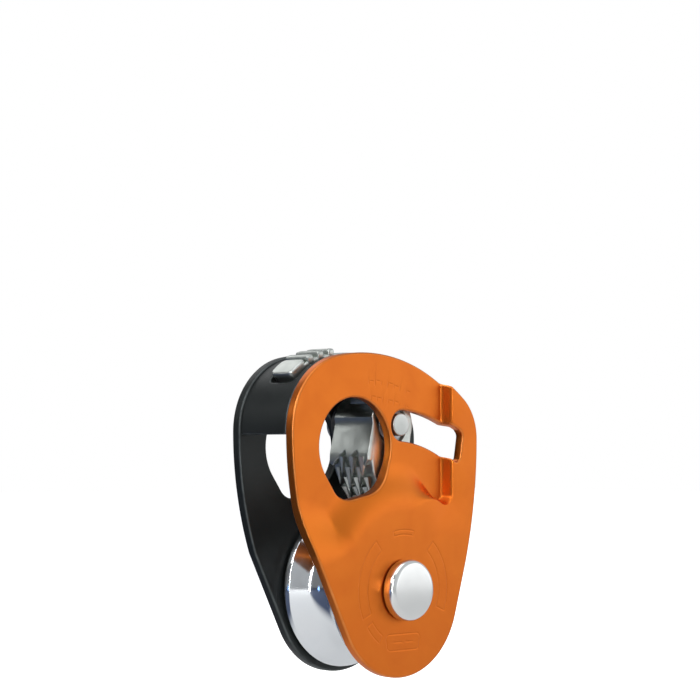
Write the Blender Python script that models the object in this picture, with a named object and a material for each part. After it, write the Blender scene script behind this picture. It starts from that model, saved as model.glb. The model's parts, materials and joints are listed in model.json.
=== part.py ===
"""Rope pulley with a swinging side plate and a toothed cam.

Lengths are in millimetres here and become metres when a mesh is made. Profiles are laid
out as (x, z) pairs about the sheave's axis, seen from the front, which is the -Y side.
The empty "pulley" then puts the centre of the connector eye at the world's origin.
"""
import math

import bmesh
import bpy
from mathutils import Matrix, Vector

MM = 0.001
GAP = 0.3                       # clearance between pieces that touch on the real pulley

# Side plates
PLATE_THICKNESS = 2.3
PLATE_FACE = 10.75              # outer faces of both plates, from the mid-plane
PLATE_INNER = PLATE_FACE - PLATE_THICKNESS
RECESS_STEP = 2.7               # how far the swing plate's upper left area is set back
LOBE_CENTRE = (-0.7, -1.0)
LOBE_RADIUS = 17.4
RIGHT_SHOULDER = (12.0, 32.0)
RIGHT_SHOULDER_RADIUS = 11.0
RIGHT_FLANK_RADIUS = 100.0
LEFT_FLANK_RADIUS = 75.0
LEFT_SHOULDER_RADIUS = 16.0
TOP_CENTRE = (-8.0, 6.6)
RIGHT_TOP_ANGLE = 51.8          # where the right shoulder runs into the top arc
LEFT_TOP_ANGLE = 101.2          # where the top arc runs into the left shoulder

# Connector eye: two circles joined by their tangents
EYE_CENTRE = (-11.4, 30.1)
EYE_RADIUS = 10.3
EYE_TOE = (-14.0, 23.3)
EYE_TOE_RADIUS = 4.2

# Sheave, axle and bearings
TREAD_RADIUS = 12.5
FLANGE_RADIUS = 17.6
SHEAVE_HALF_WIDTH = 8.0
AXLE_RADIUS = 4.7
HEAD_RADIUS = 6.5
HEAD_HEIGHT = 2.8
TENON_RADIUS = 3.5
BEARING_BORE = 5.0
BEARING_RADIUS = 9.5
BEARING_WIDTH = 5.0
BEARING_OFFSET = 4.4            # bearing centres, from the mid-plane
BALL_RADIUS = 1.25
BALL_CIRCLE = 7.25
BALL_COUNT = 8

# Cam
CAM_PIVOT = (2.13, 34.83)
CAM_AXLE_RADIUS = 2.4
CAM_FRONT = -5.2
CAM_BACK = 6.7
CAM_HUB_RADIUS = 6.2
TAB_MIDDLE = 0.3
TAB_HALF_WIDTH = 3.5
TAB_PROUD = 1.3                 # how far the thumb tab stands above the roof

# Slot for the cam axle's end, concentric with the sheave
SLOT_INNER = 31.4
SLOT_OUTER = 38.0
SLOT_START = 85.9

# Roof between the plates, part of the fixed plate
ROOF_THICKNESS = 2.4
ROOF_FRONT = -5.45
ROOF_FOOT = 32.6                # height of its lower left edge
ROOF_END_ANGLE = 68.3
TAB_SLOT_START = 139.5          # ends of the thumb tab's slot along the roof
TAB_SLOT_END = 71.5
TAB_SLOT_CLEARANCE = 0.4

# Rivet heads behind the fixed plate
PEEN_RADIUS = 5.2
RIVET_RADIUS = 3.6
HUB_RING_RADIUS = 6.2           # spacer and washers between axle and bearings

BLACK = ("black_anodised", (0.018, 0.021, 0.022), 0.38, 0.6)
ORANGE = ("orange_anodised", (0.70, 0.17, 0.025), 0.32, 0.6)
ALUMINIUM = ("polished_aluminium", (0.78, 0.80, 0.82), 0.14, 1.0)
STEEL = ("bright_steel", (0.72, 0.73, 0.73), 0.22, 1.0)
CAM_STEEL = ("cast_cam_steel", (0.36, 0.39, 0.37), 0.36, 1.0)
BEARING_STEEL = ("bearing_steel", (0.62, 0.63, 0.65), 0.18, 1.0)
SPRING_STEEL = ("spring_steel", (0.45, 0.45, 0.46), 0.3, 1.0)
RUBBER = ("seal_rubber", (0.02, 0.02, 0.02), 0.7, 0.0)
NYLON = ("cage_nylon", (0.55, 0.42, 0.22), 0.5, 0.0)
POLYMER = ("washer_polymer", (0.08, 0.08, 0.085), 0.45, 0.0)


# ---- Small geometry helpers -------------------------------------------------------------

def polar(centre, radius, degrees):
    angle = math.radians(degrees)
    return (centre[0] + radius * math.cos(angle), centre[1] + radius * math.sin(angle))


def arc(centre, radius, start, end, step=7.0, count=None):
    """Points on an arc from one angle to another, both ends included, in degrees."""
    count = count or max(2, math.ceil(abs(end - start) / step))
    return [polar(centre, radius, start + (end - start) * i / count) for i in range(count + 1)]


def top_radius(inset=0.0):
    """The top arc's radius, which makes it tangent to the right shoulder."""
    dx = RIGHT_SHOULDER[0] - TOP_CENTRE[0]
    dz = RIGHT_SHOULDER[1] - TOP_CENTRE[1]
    return math.hypot(dx, dz) + RIGHT_SHOULDER_RADIUS - inset


def left_shoulder():
    """The left shoulder's centre, which makes it tangent to the top arc."""
    return polar(TOP_CENTRE, top_radius() - LEFT_SHOULDER_RADIUS, LEFT_TOP_ANGLE)


def plate_outline():
    """Both side plates share this outline, listed counter-clockwise."""
    flank = (RIGHT_SHOULDER[0] + RIGHT_SHOULDER_RADIUS - RIGHT_FLANK_RADIUS, RIGHT_SHOULDER[1])
    shoulder = left_shoulder()
    left_flank = (shoulder[0] - LEFT_SHOULDER_RADIUS + LEFT_FLANK_RADIUS, shoulder[1])
    points = arc(LOBE_CENTRE, LOBE_RADIUS, 208, 344)
    points += arc(flank, RIGHT_FLANK_RADIUS, -16, 0, 4)
    points += arc(RIGHT_SHOULDER, RIGHT_SHOULDER_RADIUS, 0, RIGHT_TOP_ANGLE)[1:]
    points += arc(TOP_CENTRE, top_radius(), RIGHT_TOP_ANGLE, LEFT_TOP_ANGLE, 5)[1:]
    points += arc(shoulder, LEFT_SHOULDER_RADIUS, LEFT_TOP_ANGLE, 180)[1:]
    points += arc(left_flank, LEFT_FLANK_RADIUS, 180, 200, 4)[1:]
    return points


def eye_outline():
    """The egg-shaped connector eye."""
    dx = EYE_TOE[0] - EYE_CENTRE[0]
    dz = EYE_TOE[1] - EYE_CENTRE[1]
    towards_toe = math.degrees(math.atan2(dz, dx))
    spread = math.degrees(math.acos((EYE_RADIUS - EYE_TOE_RADIUS) / math.hypot(dx, dz)))
    points = arc(EYE_CENTRE, EYE_RADIUS, towards_toe + spread, towards_toe + 360 - spread, 10)
    points += arc(EYE_TOE, EYE_TOE_RADIUS, towards_toe - spread, towards_toe + spread, 12)
    return points


def slot_outline():
    """The curved slot: round at the cam axle's end, squarer at the far end."""
    middle = (SLOT_INNER + SLOT_OUTER) / 2
    half = (SLOT_OUTER - SLOT_INNER) / 2
    axis = (0.0, 0.0)
    points = arc(axis, SLOT_OUTER, 62.4, SLOT_START, 6)
    points += arc(polar(axis, middle, SLOT_START), half, SLOT_START, SLOT_START + 180, 20)[1:]
    points += arc(axis, SLOT_INNER, SLOT_START, 60, 6)[1:]
    points += arc((16.3, 28.2), 1.3, 245, 348, 30)
    points += arc((16.9, 32.3), 1.4, -12, 55, 30)
    return points


def roof_contour(inset, start=180.0, end=ROOF_END_ANGLE):
    """The plates' outline over the left shoulder and the top, moved inwards."""
    points = arc(left_shoulder(), LEFT_SHOULDER_RADIUS - inset, start, LEFT_TOP_ANGLE, 6)
    return points + arc(TOP_CENTRE, top_radius(inset), LEFT_TOP_ANGLE, end, 5)[1:]


def joggle_line(wall_x, arc_radius, turn_angle, left_height):
    """The edge of the set-back area: down a wall, round the sheave, then out to the left."""
    fillet = 1.8
    centre_x = wall_x - fillet
    centre_z = math.sqrt((arc_radius + fillet) ** 2 - centre_x ** 2)
    seen_from_axis = math.degrees(math.atan2(centre_z, centre_x))
    points = [(wall_x, 60.0)]
    points += arc((centre_x, centre_z), fillet, 0, seen_from_axis - 180, count=5)
    points += arc((0.0, 0.0), arc_radius, seen_from_axis, turn_angle, count=12)[1:]
    points += [(-40.0, left_height)]
    return points


# ---- Making objects ---------------------------------------------------------------------

def make_material(finish):
    name, colour, roughness, metallic = finish
    material = bpy.data.materials.get(name) or bpy.data.materials.new(name)
    material.use_nodes = True
    shader = material.node_tree.nodes["Principled BSDF"]
    shader.inputs["Base Color"].default_value = (*colour, 1.0)
    shader.inputs["Roughness"].default_value = roughness
    shader.inputs["Metallic"].default_value = metallic
    material.diffuse_color = (*colour, 1.0)
    return material


def place(name, data, finish, pivot=(0.0, 0.0), smooth=False):
    """Link an object whose origin is on the Y axis through the pivot."""
    piece = bpy.data.objects.new(name, data)
    bpy.context.scene.collection.objects.link(piece)
    piece.parent = pulley
    piece.location = (pivot[0] * MM, 0.0, pivot[1] * MM)
    if finish:
        data.materials.append(make_material(finish))
    if smooth:
        data.shade_smooth()
        data.set_sharp_from_angle(angle=math.radians(35))
    return piece


def finish_mesh(bm, name):
    bmesh.ops.remove_doubles(bm, verts=bm.verts, dist=1e-7)
    bmesh.ops.recalc_face_normals(bm, faces=bm.faces)
    mesh = bpy.data.meshes.new(name)
    bm.to_mesh(mesh)
    bm.free()
    return mesh


def loft(name, rings, pivot=(0.0, 0.0)):
    """A solid through rings of (y, outline), every outline with the same point count."""
    bm = bmesh.new()
    loops = []
    for y, outline in rings:
        loops.append([bm.verts.new(((x - pivot[0]) * MM, y * MM, (z - pivot[1]) * MM)) for x, z in outline])
    for lower, upper in zip(loops, loops[1:]):
        for i in range(len(lower)):
            j = (i + 1) % len(lower)
            bm.faces.new((lower[i], lower[j], upper[j], upper[i]))
    bm.faces.new(loops[0])
    bm.faces.new(loops[-1])
    return finish_mesh(bm, name)


def prism(name, outline, y_front, y_back, pivot=(0.0, 0.0)):
    return loft(name, [(y_front, outline), (y_back, outline)], pivot)


def turned(name, profile, segments=48, solid=False, middle=0.0):
    """Turn a (radius, y) profile about the Y axis; a solid one starts and ends at radius 0."""
    bm = bmesh.new()
    rings = []
    for radius, y in profile:
        count = 1 if radius == 0 else segments
        ring = []
        for i in range(count):
            angle = 2 * math.pi * i / segments
            x = radius * math.cos(angle)
            z = radius * math.sin(angle)
            ring.append(bm.verts.new((x * MM, (y + middle) * MM, z * MM)))
        rings.append(ring)
    pairs = list(zip(rings, rings[1:]))
    if not solid:
        pairs.append((rings[-1], rings[0]))
    for first, second in pairs:
        for i in range(segments):
            j = (i + 1) % segments
            corners = [first[i % len(first)], first[j % len(first)],
                       second[j % len(second)], second[i % len(second)]]
            bm.faces.new(list(dict.fromkeys(corners)))
    return finish_mesh(bm, name)


def rod(name, radius, y_front, y_back, segments=32):
    profile = [(0, y_front), (radius, y_front), (radius, y_back), (0, y_back)]
    return turned(name, profile, segments, solid=True)


def ring_profile(inner, outer, y_front, y_back):
    return [(inner, y_front), (outer, y_front), (outer, y_back), (inner, y_back)]


def combine(piece, tool_data, operation="DIFFERENCE", pivot=(0.0, 0.0)):
    """Cut or join with a hidden tool object."""
    tool = place(f"{piece.name}_tool_{len(piece.modifiers)}", tool_data, None, pivot)
    tool.hide_render = True
    tool.display_type = "WIRE"
    modifier = piece.modifiers.new(operation.title(), "BOOLEAN")
    modifier.operation = operation
    modifier.solver = "EXACT"
    modifier.object = tool


# ---- Side plates ------------------------------------------------------------------------

def fixed_side_plate():
    """Rear plate with the roof that closes the top, one piece."""
    plate = place("fixed_side_plate", prism("fixed_side_plate", plate_outline(), PLATE_INNER, PLATE_FACE),
                  BLACK, smooth=True)
    shoulder = left_shoulder()
    foot = [(shoulder[0] - LEFT_SHOULDER_RADIUS, ROOF_FOOT)]
    inner_foot = [(shoulder[0] - LEFT_SHOULDER_RADIUS + ROOF_THICKNESS, ROOF_FOOT)]
    roof = foot + roof_contour(0.0) + roof_contour(ROOF_THICKNESS)[::-1] + inner_foot
    combine(plate, prism("roof", roof, ROOF_FRONT, PLATE_FACE - 1.0), "UNION")
    above = roof_contour(-4.0, TAB_SLOT_START, TAB_SLOT_END)
    below = roof_contour(6.0, TAB_SLOT_START, TAB_SLOT_END)
    slot = above + below[::-1]
    half = TAB_HALF_WIDTH + TAB_SLOT_CLEARANCE
    combine(plate, prism("tab_slot", slot, TAB_MIDDLE - half, TAB_MIDDLE + half))
    combine(plate, prism("eye", eye_outline(), ROOF_FRONT, PLATE_FACE + 1))
    combine(plate, rod("tenon_hole", TENON_RADIUS + GAP, 0, PLATE_FACE + 1, 40))
    combine(plate, rod("cam_axle_hole", CAM_AXLE_RADIUS + GAP, PLATE_INNER - 1, PLATE_FACE + 1), pivot=CAM_PIVOT)


def swing_side_plate():
    """Front plate, jogged so that its upper left area lies deeper than the rest."""
    front = -PLATE_FACE
    floor = front + RECESS_STEP
    back = floor + PLATE_THICKNESS
    raised_back = front + PLATE_THICKNESS
    plate = place("swing_side_plate", prism("swing_side_plate", plate_outline(), front, back), ORANGE, smooth=True)
    corner = [(-40.0, 60.0)]
    upper = joggle_line(15.1, 21.4, 150, 9.0) + corner
    lower = joggle_line(14.1, 22.4, 138, 16.8) + corner
    combine(plate, loft("front_pocket", [(front - 1, upper), (front, upper), (floor, lower)]))
    surround = [(-40.0, -30.0), (40.0, -30.0), (40.0, 60.0)]
    back_lower = joggle_line(15.3, 21.2, 139, 14.6) + surround
    back_floor = joggle_line(16.3, 20.2, 151, 7.0) + surround
    combine(plate, loft("back_pocket", [(raised_back, back_floor), (back, back_lower), (back + 1, back_lower)]))
    combine(plate, prism("swing_eye", eye_outline(), front - 1, back + 1))
    combine(plate, prism("swing_slot", slot_outline(), front - 1, back + 1))
    combine(plate, rod("swing_bore", AXLE_RADIUS + GAP, front - 1, back + 1, 40))


# ---- Sheave and its axle ----------------------------------------------------------------

def sheave_profile():
    """Flanges, a round-bottomed rope groove and a stepped bore for two bearings."""
    groove = [(14.6, -5.2), (13.6, -4.4), (12.9, -3.2), (TREAD_RADIUS, -1.7), (TREAD_RADIUS, 1.7),
              (12.9, 3.2), (13.6, 4.4), (14.6, 5.2)]
    rim = [(FLANGE_RADIUS - 0.6, SHEAVE_HALF_WIDTH), (FLANGE_RADIUS, SHEAVE_HALF_WIDTH - 0.4),
           (FLANGE_RADIUS - 0.2, SHEAVE_HALF_WIDTH - 1.2)]
    bore = BEARING_RADIUS + GAP
    rib = BEARING_OFFSET - BEARING_WIDTH / 2 - GAP
    front_rim = [(r, -y) for r, y in rim]
    profile = [(bore, -7.4), (11.0, -7.4), (11.6, -SHEAVE_HALF_WIDTH)] + front_rim + groove
    profile += rim[::-1] + [(11.6, SHEAVE_HALF_WIDTH), (11.0, 7.4), (bore, 7.4)]
    profile += [(bore, rib), (8.7, rib), (8.7, -rib), (bore, -rib)]
    return profile


def sheave():
    place("sheave", turned("sheave", sheave_profile(), 48), ALUMINIUM, smooth=True)


def sheave_axle():
    """Axle with a domed-edge head in front and a peened tenon through the fixed plate."""
    seat = -PLATE_FACE - GAP
    face = seat - HEAD_HEIGHT
    edge = 1.3
    profile = [(0, face)]
    profile += [(HEAD_RADIUS - edge + edge * math.sin(a), face + edge - edge * math.cos(a))
                for a in (math.radians(22.5 * i) for i in range(5))]
    profile += [(HEAD_RADIUS, seat - 0.3), (HEAD_RADIUS - 0.3, seat), (AXLE_RADIUS, seat)]
    shoulder = PLATE_INNER - GAP
    peen = PLATE_FACE + GAP
    profile += [(AXLE_RADIUS, shoulder), (TENON_RADIUS, shoulder), (TENON_RADIUS, peen)]
    profile += [(PEEN_RADIUS, peen), (PEEN_RADIUS, peen + 0.5), (PEEN_RADIUS - 0.8, peen + 1.1), (0, peen + 1.3)]
    place("sheave_axle", turned("sheave_axle", profile, 40, solid=True), STEEL, smooth=True)


def thrust_washers():
    for name, side in (("front_thrust_washer", -1), ("rear_thrust_washer", 1)):
        near = 7.2
        far = PLATE_INNER - GAP
        profile = ring_profile(BEARING_BORE, HUB_RING_RADIUS, side * near, side * far)
        place(name, turned(name, profile, 32), POLYMER, smooth=True)


def bearing_spacer():
    half = BEARING_OFFSET - BEARING_WIDTH / 2 - GAP
    profile = ring_profile(BEARING_BORE, HUB_RING_RADIUS, -half, half)
    place("bearing_spacer", turned("bearing_spacer", profile, 32), STEEL, smooth=True)


# ---- Ball bearings ----------------------------------------------------------------------

def race(bore, surface, middle, name):
    """One bearing ring: a bore or outside radius, and a grooved surface facing the balls."""
    half = BEARING_WIDTH / 2
    groove = BALL_RADIUS + 0.25
    reach = math.acos(abs(BALL_CIRCLE - surface) / groove)
    inward = -1 if surface < BALL_CIRCLE else 1
    curve = []
    for i in range(5):
        angle = reach * (i - 2) / 2
        curve.append((BALL_CIRCLE + inward * groove * math.cos(angle), groove * math.sin(angle)))
    profile = [(bore, -half), (surface, -half)] + curve + [(surface, half), (bore, half)]
    return turned(name, profile, 28, middle=middle)


def ball(name, middle, degrees):
    bm = bmesh.new()
    bmesh.ops.create_icosphere(bm, subdivisions=2, radius=BALL_RADIUS * MM)
    x, z = polar((0.0, 0.0), BALL_CIRCLE, degrees)
    bmesh.ops.translate(bm, verts=bm.verts, vec=Vector((x, middle, z)) * MM)
    place(name, finish_mesh(bm, name), BEARING_STEEL, smooth=True)


def cage(name, middle):
    """A band round the balls with one round pocket for each."""
    half = 1.8
    band = place(name, turned(name, ring_profile(6.75, 7.75, middle - half, middle + half), 32), NYLON)
    bm = bmesh.new()
    for i in range(BALL_COUNT):
        turn = Matrix.Rotation(-2 * math.pi * i / BALL_COUNT, 4, "Y")
        lay = Matrix.Rotation(math.pi / 2, 4, "Y")
        shift = Matrix.Translation(Vector((BALL_CIRCLE, middle, 0)) * MM)
        radius = (BALL_RADIUS + 0.2) * MM
        bmesh.ops.create_cone(bm, cap_ends=True, segments=12, radius1=radius, radius2=radius,
                              depth=3 * MM, matrix=turn @ shift @ lay)
    combine(band, finish_mesh(bm, name + "_pockets"))


def bearing(side, middle):
    place(f"{side}_bearing_inner_ring", race(BEARING_BORE, 6.2, middle, f"{side}_inner"),
          BEARING_STEEL, smooth=True)
    place(f"{side}_bearing_outer_ring", race(BEARING_RADIUS, 8.3, middle, f"{side}_outer"),
          BEARING_STEEL, smooth=True)
    for face, offset in (("front", -2.35), ("rear", 2.0)):
        name = f"{side}_bearing_{face}_seal"
        profile = ring_profile(6.45, 8.05, middle + offset, middle + offset + 0.35)
        place(name, turned(name, profile, 28), RUBBER, smooth=True)
    cage(f"{side}_bearing_cage", middle)
    for i in range(BALL_COUNT):
        ball(f"{side}_bearing_ball_{i + 1}", middle, 360 * i / BALL_COUNT)


# ---- Cam --------------------------------------------------------------------------------

def cam_teeth():
    """Saw teeth from the left face, round the nose, to the lower right."""
    spine = [(-5.3, 26.6), (-4.5, 24.2), (-3.3, 22.0), (-1.8, 19.9), (0.1, 18.1), (2.4, 16.7),
             (5.0, 16.6), (7.3, 18.0), (9.0, 20.2)]
    points = []
    for (x0, z0), (x1, z1) in zip(spine, spine[1:]):
        root = Vector((x0 + (x1 - x0) * 0.8, z0 + (z1 - z0) * 0.8))
        inward = Vector((-(z1 - z0), x1 - x0)).normalized()
        points += [(x0, z0), tuple(root + inward * 1.1)]
    return points + [spine[-1]]


def cam_profile():
    face = [(-3.9, 36.6), (-3.6, 35.0), (-4.6, 31.0), (-5.2, 28.6)]
    hub = arc(CAM_PIVOT, CAM_HUB_RADIUS, -20, 150, 12)
    return face + cam_teeth() + [(9.6, 24.0), (9.0, 29.0)] + hub


def tab_profile():
    """Arm from the hub to the thumb tab, with grip ridges over the tab's rear part."""
    outer = arc(left_shoulder(), LEFT_SHOULDER_RADIUS + TAB_PROUD - 0.5, 136.6, 118, 5)
    for i in range(7):
        degrees = 115.5 - 7.8 * i
        for step, height in ((0.0, 0.4), (-1.6, 1.3), (-4.4, 1.3), (-6.0, 0.4)):
            outer.append(contour_point(degrees + step, height))
    arm_right = [(-2.0, 50.0), (-0.8, 46.8), (3.0, 40.0)]
    arm_left = [(-3.4, 36.0), (-4.2, 41.5), (-7.0, 45.0)]
    inner = arc(left_shoulder(), LEFT_SHOULDER_RADIUS - 3.4, LEFT_TOP_ANGLE, 136.6, 9)
    return outer + arm_right + [(1.0, 34.0)] + arm_left + inner


def contour_point(degrees, height):
    """A point above the roof, by its angle about the left shoulder's centre."""
    centre = left_shoulder()
    if degrees >= LEFT_TOP_ANGLE:
        return polar(centre, LEFT_SHOULDER_RADIUS + height, degrees)
    along = math.radians(LEFT_TOP_ANGLE - degrees) * LEFT_SHOULDER_RADIUS
    top_angle = LEFT_TOP_ANGLE - math.degrees(along / top_radius())
    return polar(TOP_CENTRE, top_radius() + height, top_angle)


def groove_cutter(name, y, apex_start, apex_end, half_width, depth):
    """A long V-shaped wedge whose sharp edge runs between two (x, z) points."""
    start = Vector(apex_start)
    end = Vector(apex_end)
    outward = Vector((end.y - start.y, start.x - end.x)).normalized() * depth
    bm = bmesh.new()
    sections = []
    for point in (start, end):
        corners = [(point, 0.0), (point + outward, half_width), (point + outward, -half_width)]
        sections.append([bm.verts.new(((p.x - CAM_PIVOT[0]) * MM, (y + dy) * MM, (p.y - CAM_PIVOT[1]) * MM))
                         for p, dy in corners])
    for i in range(3):
        j = (i + 1) % 3
        bm.faces.new((sections[0][i], sections[0][j], sections[1][j], sections[1][i]))
    bm.faces.new(sections[0])
    bm.faces.new(sections[1])
    return finish_mesh(bm, name)


def nose_relief(name, y_wide, y_narrow, y_out):
    """Takes a side of the nose back so that it fits between the flanges."""
    def box(low_z):
        return [(-14.0, 8.0), (14.0, 8.0), (14.0, low_z), (-14.0, low_z)]
    rings = [(y_narrow, box(19.0)), (y_wide, box(21.6)), (y_out, box(21.6))]
    return loft(name, rings, CAM_PIVOT)


def cam():
    """Toothed cam with its hub and thumb tab."""
    body = place("cam", prism("cam", cam_profile(), CAM_FRONT, CAM_BACK, CAM_PIVOT), CAM_STEEL, CAM_PIVOT)
    tab = prism("cam_tab", tab_profile(), TAB_MIDDLE - TAB_HALF_WIDTH, TAB_MIDDLE + TAB_HALF_WIDTH, CAM_PIVOT)
    combine(body, tab, "UNION", CAM_PIVOT)
    middle = (CAM_FRONT + CAM_BACK) / 2
    for side in (-1, 1):
        y = middle + side * 1.8
        combine(body, groove_cutter("left_valley", y, (-5.2, 30.4), (2.4, 14.2), 1.5, -3.0), pivot=CAM_PIVOT)
        combine(body, groove_cutter("nose_valley", y, (-2.0, 18.6), (11.0, 19.4), 1.7, -3.6), pivot=CAM_PIVOT)
        relief = nose_relief("nose_relief", middle + side * 5.0, middle + side * 4.0, middle + side * 8.0)
        combine(body, relief, pivot=CAM_PIVOT)
    combine(body, rod("cam_bore", CAM_AXLE_RADIUS + GAP, CAM_FRONT - 1, CAM_BACK + 1), pivot=CAM_PIVOT)
    combine(body, rod("spring_pocket", 4.9, 3.0, CAM_BACK + 1), pivot=CAM_PIVOT)
    combine(body, rod("ring_pocket", 4.4, CAM_FRONT - 1, CAM_FRONT + 1.1), pivot=CAM_PIVOT)


def cam_axle():
    """Stud that the cam turns on; its front end stands in the swing plate's slot."""
    end = -PLATE_FACE + RECESS_STEP
    groove_front = CAM_FRONT + 0.1
    groove_back = CAM_FRONT + 0.9
    neck = CAM_AXLE_RADIUS - 0.5
    profile = [(0, end), (CAM_AXLE_RADIUS - 0.3, end), (CAM_AXLE_RADIUS, end + 0.3)]
    profile += [(CAM_AXLE_RADIUS, groove_front), (neck, groove_front)]
    profile += [(neck, groove_back), (CAM_AXLE_RADIUS, groove_back)]
    profile += [(CAM_AXLE_RADIUS, PLATE_FACE + GAP), (RIVET_RADIUS, PLATE_FACE + GAP)]
    profile += [(RIVET_RADIUS, PLATE_FACE + 0.7), (RIVET_RADIUS - 0.7, PLATE_FACE + 1.1), (0, PLATE_FACE + 1.2)]
    place("cam_axle", turned("cam_axle", profile, 32, solid=True), STEEL, CAM_PIVOT, smooth=True)


def cam_retaining_ring():
    """Open snap ring in the axle's groove, sunk in the cam's front face."""
    neck = CAM_AXLE_RADIUS - 0.5
    outline = arc(CAM_PIVOT, neck + 0.2, 40, 320, 20) + arc(CAM_PIVOT, 3.7, 320, 40, 20)
    mesh = prism("cam_retaining_ring", outline, CAM_FRONT + 0.25, CAM_FRONT + 0.75, CAM_PIVOT)
    place("cam_retaining_ring", mesh, SPRING_STEEL, CAM_PIVOT)


def cam_rear_washer():
    mesh = turned("cam_rear_washer", ring_profile(CAM_AXLE_RADIUS + GAP, 5.6, CAM_BACK + GAP, PLATE_INNER - GAP), 32)
    place("cam_rear_washer", mesh, POLYMER, CAM_PIVOT, smooth=True)


def cam_spring():
    """Torsion spring in the hub's rear pocket, with both ends bent outwards a little."""
    coil_radius = 3.85
    wire = 0.35
    turns = 3.25
    start_y = 3.75
    pitch = 0.78
    per_turn = 16
    curve = bpy.data.curves.new("cam_spring", "CURVE")
    curve.dimensions = "3D"
    curve.bevel_depth = wire * MM
    curve.bevel_resolution = 1
    curve.use_fill_caps = True
    count = int(turns * per_turn) + 1
    spline = curve.splines.new("POLY")
    spline.points.add(count - 1)
    for i in range(count):
        angle = 2 * math.pi * i / per_turn
        flare = 0.4 if i in (0, count - 1) else 0.0
        x = (coil_radius + flare) * math.cos(angle)
        z = (coil_radius + flare) * math.sin(angle)
        y = start_y + pitch * i / per_turn
        spline.points[i].co = (x * MM, y * MM, z * MM, 1.0)
    place("cam_spring", curve, SPRING_STEEL, CAM_PIVOT)


# ---- The pulley -------------------------------------------------------------------------

for old in list(bpy.data.objects):
    bpy.data.objects.remove(old, do_unlink=True)

pulley = bpy.data.objects.new("pulley", None)
bpy.context.scene.collection.objects.link(pulley)
pulley.location = (-EYE_CENTRE[0] * MM, 0.0, -EYE_CENTRE[1] * MM)

fixed_side_plate()
swing_side_plate()
sheave()
sheave_axle()
thrust_washers()
bearing_spacer()
bearing("front", -BEARING_OFFSET)
bearing("rear", BEARING_OFFSET)
cam()
cam_axle()
cam_retaining_ring()
cam_rear_washer()
cam_spring()
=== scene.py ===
# %% [markdown]
# # A rope pulley with a swinging side plate and a toothed cam
# The pulley hangs from a connector through its egg-shaped eye. A rope runs round the polished
# sheave, and the toothed cam lets it run one way only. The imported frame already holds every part
# at its real size and on its joint, so this script gives the parts their finished surfaces.
# Lengths below are in millimetres. Sections are drawn as (x, z) about the sheave's axis, seen
# from the front, and a small function moves them to the frame and to metres.

# %% Load the frame
import json
import math

import bmesh
import bpy
import numpy as np
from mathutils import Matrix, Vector
from mathutils.geometry import delaunay_2d_cdt


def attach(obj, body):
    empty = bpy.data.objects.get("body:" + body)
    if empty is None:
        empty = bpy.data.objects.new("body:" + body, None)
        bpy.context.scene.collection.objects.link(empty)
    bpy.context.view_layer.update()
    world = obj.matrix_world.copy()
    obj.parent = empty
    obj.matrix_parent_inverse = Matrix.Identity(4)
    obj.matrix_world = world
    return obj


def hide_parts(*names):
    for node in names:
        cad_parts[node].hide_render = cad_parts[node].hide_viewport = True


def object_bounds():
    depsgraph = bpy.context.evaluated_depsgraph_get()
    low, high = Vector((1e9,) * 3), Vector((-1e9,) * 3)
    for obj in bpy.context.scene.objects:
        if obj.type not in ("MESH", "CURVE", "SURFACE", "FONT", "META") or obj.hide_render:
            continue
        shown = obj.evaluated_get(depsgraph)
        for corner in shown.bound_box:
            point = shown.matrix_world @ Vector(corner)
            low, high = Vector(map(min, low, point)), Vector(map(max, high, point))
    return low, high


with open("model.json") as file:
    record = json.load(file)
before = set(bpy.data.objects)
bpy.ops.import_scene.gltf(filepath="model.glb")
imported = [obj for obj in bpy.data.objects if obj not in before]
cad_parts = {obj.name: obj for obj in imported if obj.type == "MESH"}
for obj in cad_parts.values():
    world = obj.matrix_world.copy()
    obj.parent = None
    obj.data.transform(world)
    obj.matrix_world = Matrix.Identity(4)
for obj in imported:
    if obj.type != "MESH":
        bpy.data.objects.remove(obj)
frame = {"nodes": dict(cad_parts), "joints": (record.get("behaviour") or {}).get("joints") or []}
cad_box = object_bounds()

MM = 0.001
joints = {joint["name"]: joint for joint in frame["joints"]}
AXIS = Vector(joints["sheave_spin"]["pos_m"])
PIVOT = Vector(joints["cam_lift"]["pos_m"])
CAM_PIVOT = ((PIVOT.x - AXIS.x) / MM, (PIVOT.z - AXIS.z) / MM)
print("sheave axis at", tuple(round(v, 5) for v in AXIS), "cam pivot at", tuple(round(v, 5) for v in PIVOT))

# %% [markdown]
# ## Camera
# The pulley is seen from its front left, almost level. The camera could be shifted to put the
# pulley low in the frame, but then every other view would be off centre too. So it looks at a
# point above the pulley instead, with a long lens that keeps the two plates nearly parallel.

# %% Camera
VIEW_TURN = math.radians(-44.2)
VIEW_RISE = math.radians(1.75)
VIEW_DISTANCE = 0.442
view_centre = Vector((0.0064, -0.00275, -0.0141))
look_at = Vector((0.0048, -0.0012, 0.0206))
backwards = Vector((math.sin(VIEW_TURN) * math.cos(VIEW_RISE),
                    -math.cos(VIEW_TURN) * math.cos(VIEW_RISE), math.sin(VIEW_RISE)))
camera_data = bpy.data.cameras.new("camera")
camera_data.lens = 106.8
camera_data.clip_start = 0.01
camera = bpy.data.objects.new("camera", camera_data)
bpy.context.scene.collection.objects.link(camera)
camera.location = view_centre + backwards * VIEW_DISTANCE
camera.rotation_euler = (look_at - camera.location).to_track_quat("-Z", "Y").to_euler()
bpy.context.scene.camera = camera
print("camera", round(VIEW_DISTANCE * 1000), "mm away, lens", camera_data.lens)

# %% Helpers for node trees
def add_node(tree, kind, inputs=None, **settings):
    node = tree.nodes.new(kind)
    for name, value in settings.items():
        setattr(node, name, value)
    for name, value in (inputs or {}).items():
        if isinstance(value, bpy.types.NodeSocket):
            tree.links.new(value, node.inputs[name])
        else:
            node.inputs[name].default_value = value
    return node


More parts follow.
